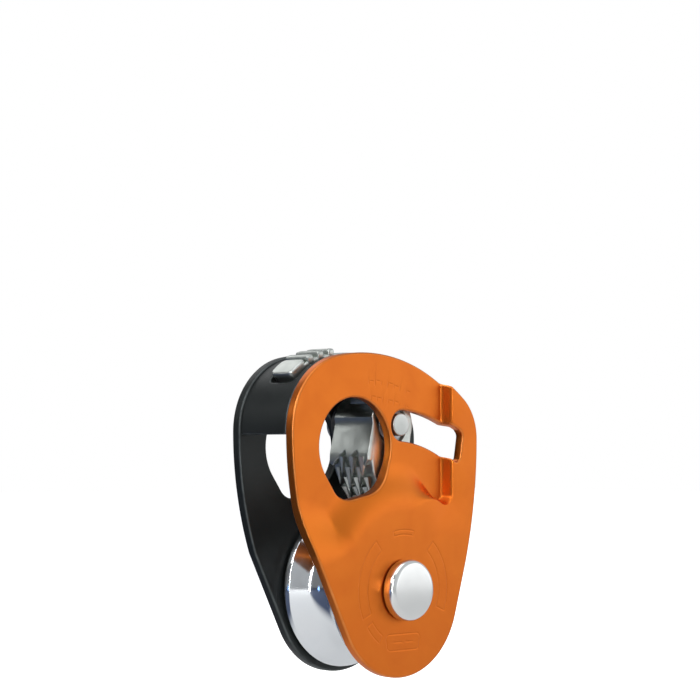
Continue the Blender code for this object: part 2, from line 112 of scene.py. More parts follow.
def calculate(tree, operation, first, second=0.0, third=None, clamp=False):
    values = {0: first, 1: second} if third is None else {0: first, 1: second, 2: third}
    return add_node(tree, "ShaderNodeMath", values, operation=operation, use_clamp=clamp).outputs[0]


# %% [markdown]
# ## Floor and studio light
# Polished metal shows the room more than its own colour, so the light is built for reflections: a
# wide soft box at the front right, which the flat orange face mirrors, a narrow strip near the
# camera for the bright lines on rounded edges, one box above, three smaller ones high and behind,
# and a small blue window at the left. Floor and surroundings are white to the eye only. To the
# metal the surroundings are a grey gradient and the floor turns dark behind and to the left, which
# keeps dark streaks in the polished parts.

# %% Floor, lights and surroundings
FLOOR_DROP = 0.035              # the pulley hangs, and the swinging plate needs room below it
FLOOR_REACH = 3.0
DARK_FROM, DARK_TO = 0.03, 0.085
bpy.context.scene.view_settings.view_transform = "Standard"


def simple_material(name, colour, roughness):
    material = bpy.data.materials.new(name)
    material.use_nodes = True
    shader = material.node_tree.nodes["Principled BSDF"]
    shader.inputs["Base Color"].default_value = (*colour, 1.0)
    shader.inputs["Roughness"].default_value = roughness
    return material


def soft_box(name, direction, distance, width, height, power, target=(0.006, 0.0, -0.01)):
    """A rectangular light at a direction and distance from the pulley, facing it."""
    light = bpy.data.lights.new(name, "AREA")
    light.shape = "RECTANGLE"
    light.size = width
    light.size_y = height
    light.energy = power
    lamp = bpy.data.objects.new(name, light)
    bpy.context.scene.collection.objects.link(lamp)
    lamp.location = Vector(target) + Vector(direction).normalized() * distance
    lamp.rotation_euler = Vector(direction).to_track_quat("Z", "Y").to_euler()
    return lamp


floor_mesh = bpy.data.meshes.new("floor")
floor_z = cad_box[0][2] - FLOOR_DROP
floor_corners = [(-1, -1), (1, -1), (1, 1), (-1, 1)]
floor_points = [(x * FLOOR_REACH, y * FLOOR_REACH, floor_z) for x, y in floor_corners]
floor_mesh.from_pydata(floor_points, [], [(0, 1, 2, 3)])
pale = simple_material("pale_floor", (0.8, 0.8, 0.8), 0.9)
pale_shader = pale.node_tree.nodes["Principled BSDF"]
outward = add_node(pale.node_tree, "ShaderNodeVectorMath", operation="DOT_PRODUCT")
pale.node_tree.links.new(add_node(pale.node_tree, "ShaderNodeTexCoord").outputs["Object"], outward.inputs[0])
outward.inputs[1].default_value = (-0.7, 0.7, 0.0)
fade = add_node(pale.node_tree, "ShaderNodeMapRange",
                {"Value": outward.outputs["Value"], "From Min": DARK_FROM, "From Max": DARK_TO},
                interpolation_type="SMOOTHSTEP")
shade = add_node(pale.node_tree, "ShaderNodeMix", data_type="RGBA")
pale.node_tree.links.new(fade.outputs["Result"], shade.inputs["Factor"])
shade.inputs["A"].default_value = (0.8, 0.8, 0.8, 1.0)
shade.inputs["B"].default_value = (0.05, 0.07, 0.13, 1.0)
pale.node_tree.links.new(shade.outputs["Result"], pale_shader.inputs["Base Color"])
to_eye = add_node(pale.node_tree, "ShaderNodeLightPath").outputs["Is Camera Ray"]
pale.node_tree.links.new(to_eye, pale_shader.inputs["Emission Strength"])
floor_mesh.materials.append(pale)
floor = bpy.data.objects.new("floor", floor_mesh)
bpy.context.scene.collection.objects.link(floor)

soft_box("front_right_box", (0.72, -0.69, 0.06), 0.9, 0.9, 0.9, 1.85)
soft_box("edge_strip", (-0.80, -0.60, 0.20), 0.7, 0.035, 0.5, 1.4)
soft_box("top_box", (-0.25, -0.15, 1.0), 0.8, 0.7, 0.7, 2.0)
soft_box("high_left_box", (-0.85, 0.05, 0.62), 0.7, 0.28, 0.22, 1.3)
soft_box("back_top_box", (0.17, 0.71, 0.68), 0.8, 0.5, 0.35, 0.6)
soft_box("back_left_box", (-0.58, 0.72, 0.37), 0.7, 0.10, 0.14, 0.10)
window = soft_box("window", (-1.0, 0.10, -0.10), 0.7, 0.08, 0.10, 0.12)
window.data.color = (0.25, 0.5, 1.0)

world = bpy.data.worlds.new("studio")
bpy.context.scene.world = world
world.use_nodes = True
sky = world.node_tree
sky.nodes.clear()
BRIGHT_SIDE = Vector((0.70, -0.70, 0.12)).normalized()
towards = add_node(sky, "ShaderNodeVectorMath", operation="DOT_PRODUCT")
sky.links.new(add_node(sky, "ShaderNodeTexCoord").outputs["Generated"], towards.inputs[0])
towards.inputs[1].default_value = BRIGHT_SIDE
share = add_node(sky, "ShaderNodeMapRange",
                 {"Value": towards.outputs["Value"], "From Min": -0.25, "From Max": 0.4,
                  "To Min": 0.20, "To Max": 0.62}, interpolation_type="SMOOTHSTEP")
felt = add_node(sky, "ShaderNodeBackground",
                {"Color": (0.94, 0.97, 1.0, 1.0), "Strength": share.outputs["Result"]})
seen = add_node(sky, "ShaderNodeBackground", {"Color": (1.0, 1.0, 1.0, 1.0), "Strength": 1.0})
eye_only = add_node(sky, "ShaderNodeLightPath").outputs["Is Camera Ray"]
choose = add_node(sky, "ShaderNodeMixShader", {"Fac": eye_only, 1: felt.outputs[0], 2: seen.outputs[0]})
add_node(sky, "ShaderNodeOutputWorld", {"Surface": choose.outputs[0]})
print("floor at", round(floor_z, 4), "m, seven soft boxes")

# %% [markdown]
# ## Effects that several finishes share
# Grain, worn edges and tool marks come back on many parts, so each is a node group with named
# inputs, built once. The brighter edges are rubbed wear in patches, and on the orange plate they are
# also a painted highlight. They need to know where an edge is: every mesh below carries an attribute
# named edge, which is 1 on rounded edges and 0 on faces.

# %% Group helper
def new_group(name, inputs, outputs):
    """A shader node group with named sockets; returns the tree, its inputs and its output node."""
    tree = bpy.data.node_groups.new(name, "ShaderNodeTree")
    for label, kind, value in inputs:
        socket = tree.interface.new_socket(name=label, in_out="INPUT", socket_type=f"NodeSocket{kind}")
        if value is not None:
            socket.default_value = value
    for label, kind in outputs:
        tree.interface.new_socket(name=label, in_out="OUTPUT", socket_type=f"NodeSocket{kind}")
    return tree, tree.nodes.new("NodeGroupInput").outputs, tree.nodes.new("NodeGroupOutput").inputs


# %% The shared groups: grain, edge wear, tool marks, smudges
def make_grain():
    """Fine even grain, as blasting or casting leaves it."""
    tree, given, result = new_group("metal_grain", [("Vector", "Vector", None), ("Size mm", "Float", 0.12)],
                                    [("Height", "Float")])
    scale = calculate(tree, "DIVIDE", 1.0 / MM, given["Size mm"])
    noise = add_node(tree, "ShaderNodeTexNoise", {"Vector": given["Vector"], "Scale": scale, "Detail": 3.0})
    tree.links.new(noise.outputs["Fac"], result["Height"])
    return tree


def make_edge_wear_and_highlight():
    """Where a rounded edge turns brighter, in uneven patches: rubbed wear, and on the orange plate also a
    painted highlight.
    """
    tree, given, result = new_group(
        "edge_wear_and_highlight", [("Vector", "Vector", None), ("Edge", "Float", 0.0), ("Amount", "Float", 0.5)],
        [("Mask", "Float")])
    noise = add_node(tree, "ShaderNodeTexNoise", {"Vector": given["Vector"], "Scale": 260.0, "Detail": 4.0})
    patches = calculate(tree, "MULTIPLY_ADD", noise.outputs["Fac"], 1.6, -0.3, clamp=True)
    worn_and_highlit_edge = calculate(tree, "MULTIPLY", given["Edge"], patches)
    tree.links.new(calculate(tree, "MULTIPLY", worn_and_highlit_edge, given["Amount"], clamp=True), result["Mask"])
    return tree


def make_tool_marks():
    """Fine rings left by a lathe: noise read by distance from the axis and place along it."""
    tree, given, result = new_group(
        "tool_marks", [("Vector", "Vector", None), ("Axis", "Vector", None), ("Pitch mm", "Float", 0.1)],
        [("Height", "Float")])
    centred = add_node(tree, "ShaderNodeVectorMath", {0: given["Vector"], 1: given["Axis"]},
                       operation="SUBTRACT")
    parts = add_node(tree, "ShaderNodeSeparateXYZ", {0: centred.outputs[0]})
    across = calculate(tree, "POWER", parts.outputs["X"], 2.0)
    up = calculate(tree, "POWER", parts.outputs["Z"], 2.0)
    radius = calculate(tree, "SQRT", calculate(tree, "ADD", across, up))
    section = add_node(tree, "ShaderNodeCombineXYZ", {"X": radius, "Y": parts.outputs["Y"]})
    scale = calculate(tree, "DIVIDE", 1.0 / MM, given["Pitch mm"])
    noise = add_node(tree, "ShaderNodeTexNoise",
                     {"Vector": section.outputs[0], "Scale": scale, "Detail": 2.0})
    tree.links.new(noise.outputs["Fac"], result["Height"])
    return tree


def make_smudges():
    """Broad soft patches from fingers and rope, used to vary roughness and tone."""
    tree, given, result = new_group("smudges", [("Vector", "Vector", None), ("Size mm", "Float", 9.0)],
                                    [("Value", "Float")])
    scale = calculate(tree, "DIVIDE", 1.0 / MM, given["Size mm"])
    noise = add_node(tree, "ShaderNodeTexNoise",
                     {"Vector": given["Vector"], "Scale": scale, "Detail": 5.0, "Distortion": 0.6})
    patches = calculate(tree, "MULTIPLY_ADD", noise.outputs["Fac"], 2.2, -0.6, clamp=True)
    tree.links.new(patches, result["Value"])
    return tree


GRAIN = make_grain()
EDGE_WEAR_AND_HIGHLIGHT = make_edge_wear_and_highlight()
TOOL_MARKS = make_tool_marks()
SMUDGES = make_smudges()
print("node groups:", [g.name for g in bpy.data.node_groups])

# %% [markdown]
# ## Finishes
# One function builds every metal finish from the shared groups, because they differ only in
# colours and amounts: a base tone and a second tone that smudges mix in, a brighter edge that is
# rubbed wear and, on the orange plate, also a painted highlight, a painted reflection tint along the
# orange plate's press ramp, grain or tool marks in the normal, and roughness that smudges disturb.
# Each keeps its own Principled shader, so constant values sit directly on the shader's sockets.

# %% Metal and polymer finishes
def finish(name, tone, second_tone, roughness, metallic=1.0, worn_and_highlit_edge=None, wear_and_highlight=0.5, grain=0.12, bump=0.15,
           lathe_axis=None, pitch=0.1, spread=0.1, smudge=9.0, press_sheen=None, coat=0.0):
    """A procedural finish; lathe_axis turns the grain into rings about that point."""
    material = bpy.data.materials.new(name)
    material.use_nodes = True
    tree = material.node_tree
    shader = tree.nodes["Principled BSDF"]
    place = add_node(tree, "ShaderNodeTexCoord").outputs["Object"]
    blotches = add_node(tree, "ShaderNodeGroup", {}, node_tree=SMUDGES)
    tree.links.new(place, blotches.inputs["Vector"])
    blotches.inputs["Size mm"].default_value = smudge
    patch = blotches.outputs["Value"]
    colour = add_node(tree, "ShaderNodeMix", data_type="RGBA")
    tree.links.new(patch, colour.inputs["Factor"])
    colour.inputs[6].default_value = (*tone, 1.0)
    colour.inputs[7].default_value = (*second_tone, 1.0)
    mixed = colour.outputs[2]
    # A painted reflection tint: along the press ramp the colour is mixed a little towards a yellower orange,
    # standing in for the sheen that the ramp's slope catches.
    if press_sheen:
        press_sheen_mask = add_node(tree, "ShaderNodeAttribute", attribute_name="press_sheen").outputs["Fac"]
        tint = add_node(tree, "ShaderNodeMix", data_type="RGBA")
        tree.links.new(calculate(tree, "MULTIPLY", press_sheen_mask, 0.2), tint.inputs["Factor"])
        tree.links.new(mixed, tint.inputs[6])
        tint.inputs[7].default_value = (*press_sheen, 1.0)
        mixed = tint.outputs[2]
    # The edge tone: rubbed wear in uneven patches. On the orange plate its tone is also a painted highlight
    # along the rounded edges.
    if worn_and_highlit_edge:
        edge = add_node(tree, "ShaderNodeAttribute", attribute_name="edge").outputs["Fac"]
        wear_and_highlight_mask = add_node(tree, "ShaderNodeGroup", {}, node_tree=EDGE_WEAR_AND_HIGHLIGHT)
        tree.links.new(place, wear_and_highlight_mask.inputs["Vector"])
        tree.links.new(edge, wear_and_highlight_mask.inputs["Edge"])
        wear_and_highlight_mask.inputs["Amount"].default_value = wear_and_highlight
        bright = add_node(tree, "ShaderNodeMix", data_type="RGBA")
        tree.links.new(wear_and_highlight_mask.outputs["Mask"], bright.inputs["Factor"])
        tree.links.new(mixed, bright.inputs[6])
        bright.inputs[7].default_value = (*worn_and_highlit_edge, 1.0)
        mixed = bright.outputs[2]
    tree.links.new(mixed, shader.inputs["Base Color"])
    tree.links.new(calculate(tree, "MULTIPLY_ADD", patch, spread, roughness - spread / 2, clamp=True),
                   shader.inputs["Roughness"])
    if lathe_axis is None:
        texture = add_node(tree, "ShaderNodeGroup", {}, node_tree=GRAIN)
        texture.inputs["Size mm"].default_value = grain
    else:
        texture = add_node(tree, "ShaderNodeGroup", {}, node_tree=TOOL_MARKS)
        texture.inputs["Axis"].default_value = lathe_axis
        texture.inputs["Pitch mm"].default_value = pitch
    tree.links.new(place, texture.inputs["Vector"])
    relief = add_node(tree, "ShaderNodeBump", {"Strength": bump, "Distance": 0.02 * MM})
    tree.links.new(texture.outputs["Height"], relief.inputs["Height"])
    tree.links.new(relief.outputs["Normal"], shader.inputs["Normal"])
    shader.inputs["Metallic"].default_value = metallic
    shader.inputs["Coat Weight"].default_value = coat
    return material


# The orange's edge tone is partly a painted highlight, and its last colour is a painted reflection tint along
# the press ramp, a little yellower than the face.
ORANGE = finish("orange_anodised", (0.70, 0.175, 0.022), (0.66, 0.155, 0.020), 0.36, 1.0,
                worn_and_highlit_edge=(1.0, 0.46, 0.16), wear_and_highlight=0.45, grain=0.09, bump=0.12, spread=0.05,
                press_sheen=(0.70, 0.20, 0.012))
BLACK = finish("black_anodised", (0.016, 0.019, 0.019), (0.024, 0.028, 0.028), 0.42, 0.55,
               worn_and_highlit_edge=(0.16, 0.18, 0.18), wear_and_highlight=0.8, grain=0.14, bump=0.35, spread=0.12)
POLISHED = finish("polished_aluminium", (0.86, 0.88, 0.90), (0.80, 0.83, 0.86), 0.10, 1.0,
                  lathe_axis=AXIS, pitch=0.16, bump=0.10, spread=0.08)
HEAD_STEEL = finish("bright_steel", (0.80, 0.81, 0.80), (0.72, 0.73, 0.72), 0.17, 1.0,
                    worn_and_highlit_edge=(0.9, 0.9, 0.9), lathe_axis=AXIS, pitch=0.35, bump=0.05, spread=0.08)
STUD_STEEL = finish("stud_steel", (0.62, 0.63, 0.61), (0.50, 0.52, 0.50), 0.34, 1.0,
                    worn_and_highlit_edge=(0.8, 0.8, 0.8), lathe_axis=PIVOT, pitch=0.25, bump=0.12, spread=0.12)
CAST = finish("cast_cam_steel", (0.60, 0.63, 0.60), (0.50, 0.53, 0.50), 0.34, 1.0,
              worn_and_highlit_edge=(0.75, 0.77, 0.75), wear_and_highlight=0.9, grain=0.16, bump=0.4, spread=0.14, smudge=5.0)
BEARING = finish("bearing_steel", (0.66, 0.67, 0.69), (0.58, 0.59, 0.61), 0.16, 1.0,
                 lathe_axis=AXIS, pitch=0.08, bump=0.08)
SPRING = finish("spring_steel", (0.40, 0.40, 0.41), (0.30, 0.30, 0.31), 0.28, 1.0, grain=0.2, bump=0.1)
RUBBER = finish("seal_rubber", (0.018, 0.018, 0.019), (0.03, 0.03, 0.03), 0.66, 0.0, grain=0.1, bump=0.3)
NYLON = finish("cage_nylon", (0.50, 0.38, 0.20), (0.44, 0.33, 0.17), 0.48, 0.0, grain=0.2, bump=0.15)
POLYMER = finish("washer_polymer", (0.07, 0.07, 0.075), (0.10, 0.10, 0.10), 0.45, 0.0, grain=0.15, bump=0.2)
print(len([m for m in bpy.data.materials if m.use_nodes]), "procedural materials")

# %% [markdown]
# ## Outlines
# Every section here is straight lines and arcs, so three small helpers are enough: one draws an
# arc, one rounds the corners of a polygon, and one walks a closed outline with points at an even
# step, which the rounded edges need.

# %% Outline helpers
def polar(centre, radius, degrees):
    angle = math.radians(degrees)
    return (centre[0] + radius * math.cos(angle), centre[1] + radius * math.sin(angle))


def arc(centre, radius, start, end, step=3.0):
    count = max(2, math.ceil(abs(end - start) / step))
    return [polar(centre, radius, start + (end - start) * i / count) for i in range(count + 1)]


def rounded(corners, steps=5):
    """A closed path through (u, v, radius) corners; gives (u, v, edge), edge being 1 on an arc."""
    path = []
    for i, (u, v, radius) in enumerate(corners):
        here = Vector((u, v))
        to_last = Vector(corners[i - 1][:2]) - here
        to_next = Vector(corners[(i + 1) % len(corners)][:2]) - here
        if not radius:
            path.append((u, v, 0.0))
            continue
        half = to_last.angle(to_next) / 2
        reach = min(radius / math.tan(half), 0.49 * to_last.length, 0.49 * to_next.length)
        turn_radius = reach * math.tan(half)
        bisector = (to_last.normalized() + to_next.normalized()).normalized()
        centre = here + bisector * (turn_radius / math.sin(half))
        first = here + to_last.normalized() * reach - centre
        last = here + to_next.normalized() * reach - centre
        begin = math.atan2(first.y, first.x)
        sweep = (math.atan2(last.y, last.x) - begin + math.pi) % (2 * math.pi) - math.pi
        for k in range(steps + 1):
            angle = begin + sweep * k / steps
            x = centre.x + turn_radius * math.cos(angle)
            y = centre.y + turn_radius * math.sin(angle)
            path.append((x, y, 1.0))
    return path


def walk(outline, step):
    """The closed outline with points no further apart than the step."""
    points = []
    for a, b in zip(outline, outline[1:] + outline[:1]):
        count = max(1, math.ceil(math.dist(a[:2], b[:2]) / step))
        points += [(a[0] + (b[0] - a[0]) * i / count, a[1] + (b[1] - a[1]) * i / count) for i in range(count)]
    return [p for i, p in enumerate(points) if math.dist(p, points[i - 1]) > 1e-4]


def smooth_step(t):
    t = np.clip(t, 0.0, 1.0)
    return t * t * (3 - 2 * t)


# %% [markdown]
# ## Turned parts
# Sheave, axle, studs, washers and bearing rings are all turned: one section, spun round an axis.
# The Screw modifier or bmesh.ops.spin could do it. A Geometry Nodes tree is used instead, because
# one tree then makes every turned part here, with its axis and number of segments as inputs. It lays
# out a grid, one column for each step of the turn, and moves each grid point to the section point
# it samples, turned by its column's angle.

# %% The lathe tree
def add_socket(tree, label, kind, value=None, way="INPUT"):
    socket = tree.interface.new_socket(name=label, in_out=way, socket_type=f"NodeSocket{kind}")
    if value is not None:
        socket.default_value = value


def geometry_tree(name, sockets):
    """A Geometry Nodes tree with named inputs; returns the tree and its input sockets."""
    tree = bpy.data.node_groups.new(name, "GeometryNodeTree")
    add_socket(tree, "Geometry", "Geometry", way="OUTPUT")
    add_socket(tree, "Geometry", "Geometry")
    for label, kind, value in sockets:
        add_socket(tree, label, kind, value)
    add_socket(tree, "Material", "Material")
    return tree, tree.nodes.new("NodeGroupInput").outputs


def end_tree(tree, geometry, material):
    """Realize Instances and Set Material at the end of a tree, so that the result is plain geometry with its
    material.
    """
    real = add_node(tree, "GeometryNodeRealizeInstances", {"Geometry": geometry})
    painted = add_node(tree, "GeometryNodeSetMaterial", {"Geometry": real.outputs[0], "Material": material})
    out = tree.nodes.new("NodeGroupOutput")
    tree.links.new(painted.outputs[0], out.inputs["Geometry"])


def run_tree(name, tree, source, values, sharp=35.0):
    """Puts a tree on a source mesh and returns its result as a plain mesh object."""
    piece = bpy.data.objects.new(name, source)
    bpy.context.scene.collection.objects.link(piece)
    modifier = piece.modifiers.new("shape", "NODES")
    modifier.node_group = tree
    sockets = {item.name: item.identifier for item in tree.interface.items_tree if item.in_out == "INPUT"}
    for label, value in values.items():
        modifier[sockets[label]] = value
    bpy.context.view_layer.update()
    evaluated = piece.evaluated_get(bpy.context.evaluated_depsgraph_get())
    mesh = bpy.data.meshes.new_from_object(evaluated)
    piece.modifiers.clear()
    piece.data = mesh
    tidy_mesh(mesh, sharp)
    return piece


def tidy_mesh(mesh, sharp=35.0):
    """Closes seams, points every face outwards and shades the result smooth but for sharp corners."""
    bm = bmesh.new()
    bm.from_mesh(mesh)
    bmesh.ops.remove_doubles(bm, verts=bm.verts, dist=0.5e-6)
    bmesh.ops.dissolve_degenerate(bm, edges=bm.edges, dist=0.2e-6)
    bmesh.ops.recalc_face_normals(bm, faces=bm.faces)
    bm.to_mesh(mesh)
    bm.free()
    mesh.shade_smooth()
    mesh.set_sharp_from_angle(angle=math.radians(sharp))


def make_lathe():
    tree, given = geometry_tree("turn_on_lathe", [("Segments", "Int", 128), ("Axis", "Vector", None)])
    size = add_node(tree, "GeometryNodeAttributeDomainSize", {"Geometry": given["Geometry"]},
                    component="MESH")
    count = size.outputs["Point Count"]
    rows = calculate(tree, "ADD", count, 1.0)
    columns = calculate(tree, "ADD", given["Segments"], 1.0)
    grid = add_node(tree, "GeometryNodeMeshGrid", {"Vertices X": columns, "Vertices Y": rows})
    index = tree.nodes.new("GeometryNodeInputIndex").outputs[0]
    column = calculate(tree, "FLOOR", calculate(tree, "DIVIDE", calculate(tree, "ADD", index, 0.5), rows))
    within = calculate(tree, "SUBTRACT", index, calculate(tree, "MULTIPLY", column, rows))
    row = calculate(tree, "MODULO", within, count)
    whole = add_node(tree, "FunctionNodeFloatToInt", {0: calculate(tree, "ADD", row, 0.1)},
                     rounding_mode="FLOOR")
    place = tree.nodes.new("GeometryNodeInputPosition").outputs[0]
    sampled = add_node(tree, "GeometryNodeSampleIndex", data_type="FLOAT_VECTOR", domain="POINT")
    tree.links.new(given["Geometry"], sampled.inputs["Geometry"])
    tree.links.new(place, sampled.inputs["Value"])
    tree.links.new(whole.outputs[0], sampled.inputs["Index"])
    turn = calculate(tree, "DIVIDE", calculate(tree, "MULTIPLY", column, 2 * math.pi), given["Segments"])
    spun = add_node(tree, "ShaderNodeVectorRotate",
                    {"Vector": sampled.outputs[0], "Center": given["Axis"], "Angle": turn},
                    rotation_type="Y_AXIS")
    moved = add_node(tree, "GeometryNodeSetPosition",
                     {"Geometry": grid.outputs["Mesh"], "Position": spun.outputs[0]})
    mark = add_node(tree, "GeometryNodeInputNamedAttribute", {"Name": "edge"}, data_type="FLOAT")
    edge = add_node(tree, "GeometryNodeSampleIndex", data_type="FLOAT", domain="POINT")
    tree.links.new(given["Geometry"], edge.inputs["Geometry"])
    tree.links.new(mark.outputs["Attribute"], edge.inputs["Value"])
    tree.links.new(whole.outputs[0], edge.inputs["Index"])
    kept = add_node(tree, "GeometryNodeStoreNamedAttribute", {"Geometry": moved.outputs[0], "Name": "edge"},
                    data_type="FLOAT", domain="POINT")
    tree.links.new(edge.outputs[0], kept.inputs["Value"])
    closed = add_node(tree, "GeometryNodeMergeByDistance", {"Geometry": kept.outputs[0], "Distance": 0.5e-6})
    end_tree(tree, closed.outputs[0], given["Material"])
    return tree


LATHE = make_lathe()


def turned(name, section, material, axis=AXIS, segments=128):
    """Turns a section of (radius, y) or (radius, y, edge) points about the axis."""
    mesh = bpy.data.meshes.new(name + "_section")
    mesh.from_pydata([(axis.x + p[0] * MM, p[1] * MM, axis.z) for p in section],
                     [(i, i + 1) for i in range(len(section) - 1)], [])
    mark = mesh.attributes.new("edge", "FLOAT", "POINT")
    mark.data.foreach_set("value", [float(p[2]) if len(p) > 2 else 0.0 for p in section])
    piece = run_tree(name, LATHE, mesh, {"Segments": segments, "Axis": tuple(axis), "Material": material})
    print(name, len(piece.data.polygons), "faces")
    return piece


def stands_for(piece, body, slot, *nodes):
    """Rides a body and replaces the frame's plain nodes; the finish slot it is given is not used."""
    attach(piece, body)
    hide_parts(*nodes)


# %% [markdown]
# ## Sheave, axle and cam stud
# The sheave is a polished aluminium wheel with a round-bottomed rope groove and thin flanges. Its
# axle is a steel rivet: a thick head with a soft rolled edge in front, a shoulder that sets the
# gap between the plates, and a peened end behind. The cam turns on a second, thinner stud.

# %% Sheave
TREAD_RADIUS = 12.5
FLANGE_RADIUS = 17.6
HALF_WIDTH = 8.0
PLATE_FACE = 10.75
PLATE_THICKNESS = 2.3
PLATE_INNER = PLATE_FACE - PLATE_THICKNESS
GAP = 0.3


def groove_section():
    """The rope groove from the front flange to the rear one: straight walls into a round bottom."""
    bottom_radius = 5.2
    middle = (TREAD_RADIUS + bottom_radius, 0.0)
    wall = arc(middle, bottom_radius, 132, 228, 6.0)
    return [(r, -y, 0.0) for r, y in wall][::-1]


def sheave_section():
    rim = 0.55
    bore = 9.8
    step = 1.6
    section = rounded([(bore, -7.4, 0.2), (11.0, -7.4, 0.3), (11.8, -HALF_WIDTH, 0.5),
                       (FLANGE_RADIUS, -HALF_WIDTH, rim), (FLANGE_RADIUS - 0.5, -HALF_WIDTH + 1.5, rim),
                       (14.1, -3.9, 0.0)])[:-1]
    mirrored = [(r, -y, edge) for r, y, edge in section][::-1]
    rib = [(bore, step, 0.0), (8.7, step, 0.0), (8.7, -step, 0.0), (bore, -step, 0.0)]
    return section + groove_section()[::-1] + mirrored + rib


sheave = turned("sheave_wheel", sheave_section(), POLISHED, segments=192)
stands_for(sheave, "sheave", "polished_aluminium", "sheave")

# %% Axle with its head and peened end
AXLE_RADIUS = 4.7
HEAD_RADIUS = 6.5
HEAD_HEIGHT = 2.8
HEAD_EDGE = 2.1
TENON_RADIUS = 3.5

seat = -PLATE_FACE - GAP
shoulder = PLATE_INNER - GAP
peen = PLATE_FACE + GAP
axle_corners = [(0.0, seat - HEAD_HEIGHT, 0), (HEAD_RADIUS, seat - HEAD_HEIGHT, HEAD_EDGE),
                (HEAD_RADIUS, seat, 0.3), (AXLE_RADIUS, seat, 0.1), (AXLE_RADIUS, shoulder, 0.2),
                (TENON_RADIUS, shoulder, 0.1),
                (TENON_RADIUS, peen, 0.1), (5.2, peen, 0.2), (5.0, peen + 1.15, 0.6), (0.0, peen + 1.3, 0)]
axle = turned("axle_rivet", rounded(axle_corners, 7), HEAD_STEEL, segments=160)
stands_for(axle, "frame", "bright_steel", "sheave_axle")

# %% Cam stud
STUD_RADIUS = 2.4
STUD_END = -8.05
CAM_FRONT = -5.2
CAM_BACK = 6.7
neck = STUD_RADIUS - 0.5
stud_corners = [(0.0, STUD_END, 0), (STUD_RADIUS, STUD_END, 0.35), (STUD_RADIUS, CAM_FRONT + 0.1, 0.05),
                (neck, CAM_FRONT + 0.1, 0), (neck, CAM_FRONT + 0.9, 0), (STUD_RADIUS, CAM_FRONT + 0.9, 0.05),
                (STUD_RADIUS, PLATE_FACE + GAP, 0.1), (3.6, PLATE_FACE + GAP, 0.15),
                (3.4, PLATE_FACE + 1.1, 0.45), (0.0, PLATE_FACE + 1.2, 0)]
stud = turned("cam_stud", rounded(stud_corners, 5), STUD_STEEL, axis=PIVOT, segments=96)
stands_for(stud, "frame", "bright_steel", "cam_axle")

# %% [markdown]
# ## Ball bearings, spacer and washers
# Two sealed ball bearings sit side by side in the sheave. Their rings, seals and washers are
# turned like the rest. The balls repeat round a circle, so a second tree places one ball on each
# point of a mesh circle. Balls and cage ride together on their own body, because a cage turns
# at little more than half the sheave's speed.

# %% Bearing rings, seals, spacer and washers
BALL_CIRCLE = 7.25
BALL_RADIUS = 1.25
BEARING_OFFSET = 4.4
HALF_BEARING = 2.5


def ring(inner, outer, front, back, edge):
    return rounded([(inner, front, edge), (outer, front, edge), (outer, back, edge), (inner, back, edge)], 3)


def race_section(bore, surface, middle):
    """A bearing ring with a ball groove in the surface that faces the balls."""
    groove = BALL_RADIUS + 0.1
    reach = math.degrees(math.acos(abs(BALL_CIRCLE - surface) / groove))
    facing = 180 if surface < BALL_CIRCLE else 0
    track = arc((BALL_CIRCLE, middle), groove, facing + reach, facing - reach, 12)
    if facing == 0:
        track = track[::-1]
    ends = rounded([(surface, middle + HALF_BEARING, 0.12), (bore, middle + HALF_BEARING, 0.3),
                    (bore, middle - HALF_BEARING, 0.3), (surface, middle - HALF_BEARING, 0.12)], 3)
    return ends + [(r, y, 0.0) for r, y in track]


for side, middle in (("front", -BEARING_OFFSET), ("rear", BEARING_OFFSET)):
    inner = turned(f"{side}_inner_race", race_section(5.0, 6.2, middle), BEARING, segments=96)
    stands_for(inner, "frame", "bearing_steel", f"{side}_bearing_inner_ring")
    outer = turned(f"{side}_outer_race", race_section(9.5, 8.3, middle), BEARING, segments=96)
    stands_for(outer, "sheave", "bearing_steel", f"{side}_bearing_outer_ring")
    for face, start in (("front", -2.35), ("rear", 2.0)):
        seal_section = ring(6.45, 8.05, middle + start, middle + start + 0.35, 0.12)
        seal = turned(f"{side}_bearing_{face}_shield", seal_section, RUBBER, segments=96)
        stands_for(seal, "sheave", "seal_rubber", f"{side}_bearing_{face}_seal")
    near, far = (-PLATE_INNER + GAP, -7.2) if side == "front" else (7.2, PLATE_INNER - GAP)
    washer = turned(f"{side}_side_washer", ring(5.0, 6.2, near, far, 0.2), POLYMER, segments=96)
    stands_for(washer, "frame", "washer_polymer", f"{side}_thrust_washer")
spacer = turned("race_spacer", ring(5.0, 6.2, -1.6, 1.6, 0.2), BEARING, segments=96)
stands_for(spacer, "frame", "bright_steel", "bearing_spacer")
washer_section = ring(STUD_RADIUS + GAP, 5.6, CAM_BACK + GAP, PLATE_INNER - GAP, 0.2)
washer = turned("cam_side_washer", washer_section, POLYMER, axis=PIVOT, segments=80)
stands_for(washer, "frame", "washer_polymer", "cam_rear_washer")


# %% Balls on a circle
def make_ball_ring():
    tree, given = geometry_tree("ball_ring", [("Count", "Int", 8), ("Circle", "Float", 0.00725),
                                              ("Ball Radius", "Float", 0.00125), ("Centre", "Vector", None)])
    circle = add_node(tree, "GeometryNodeMeshCircle", {"Vertices": given["Count"], "Radius": given["Circle"]})
    sphere = add_node(tree, "GeometryNodeMeshUVSphere",
                      {"Segments": 24, "Rings": 12, "Radius": given["Ball Radius"]})
    smooth = add_node(tree, "GeometryNodeSetShadeSmooth", {"Geometry": sphere.outputs["Mesh"]})
    balls = add_node(tree, "GeometryNodeInstanceOnPoints",
                     {"Points": circle.outputs["Mesh"], "Instance": smooth.outputs[0]})
    placed = add_node(tree, "GeometryNodeTransform",
                      {"Geometry": balls.outputs[0], "Translation": given["Centre"],
                       "Rotation": (math.pi / 2, 0.0, 0.0)})
    end_tree(tree, placed.outputs[0], given["Material"])
    return tree


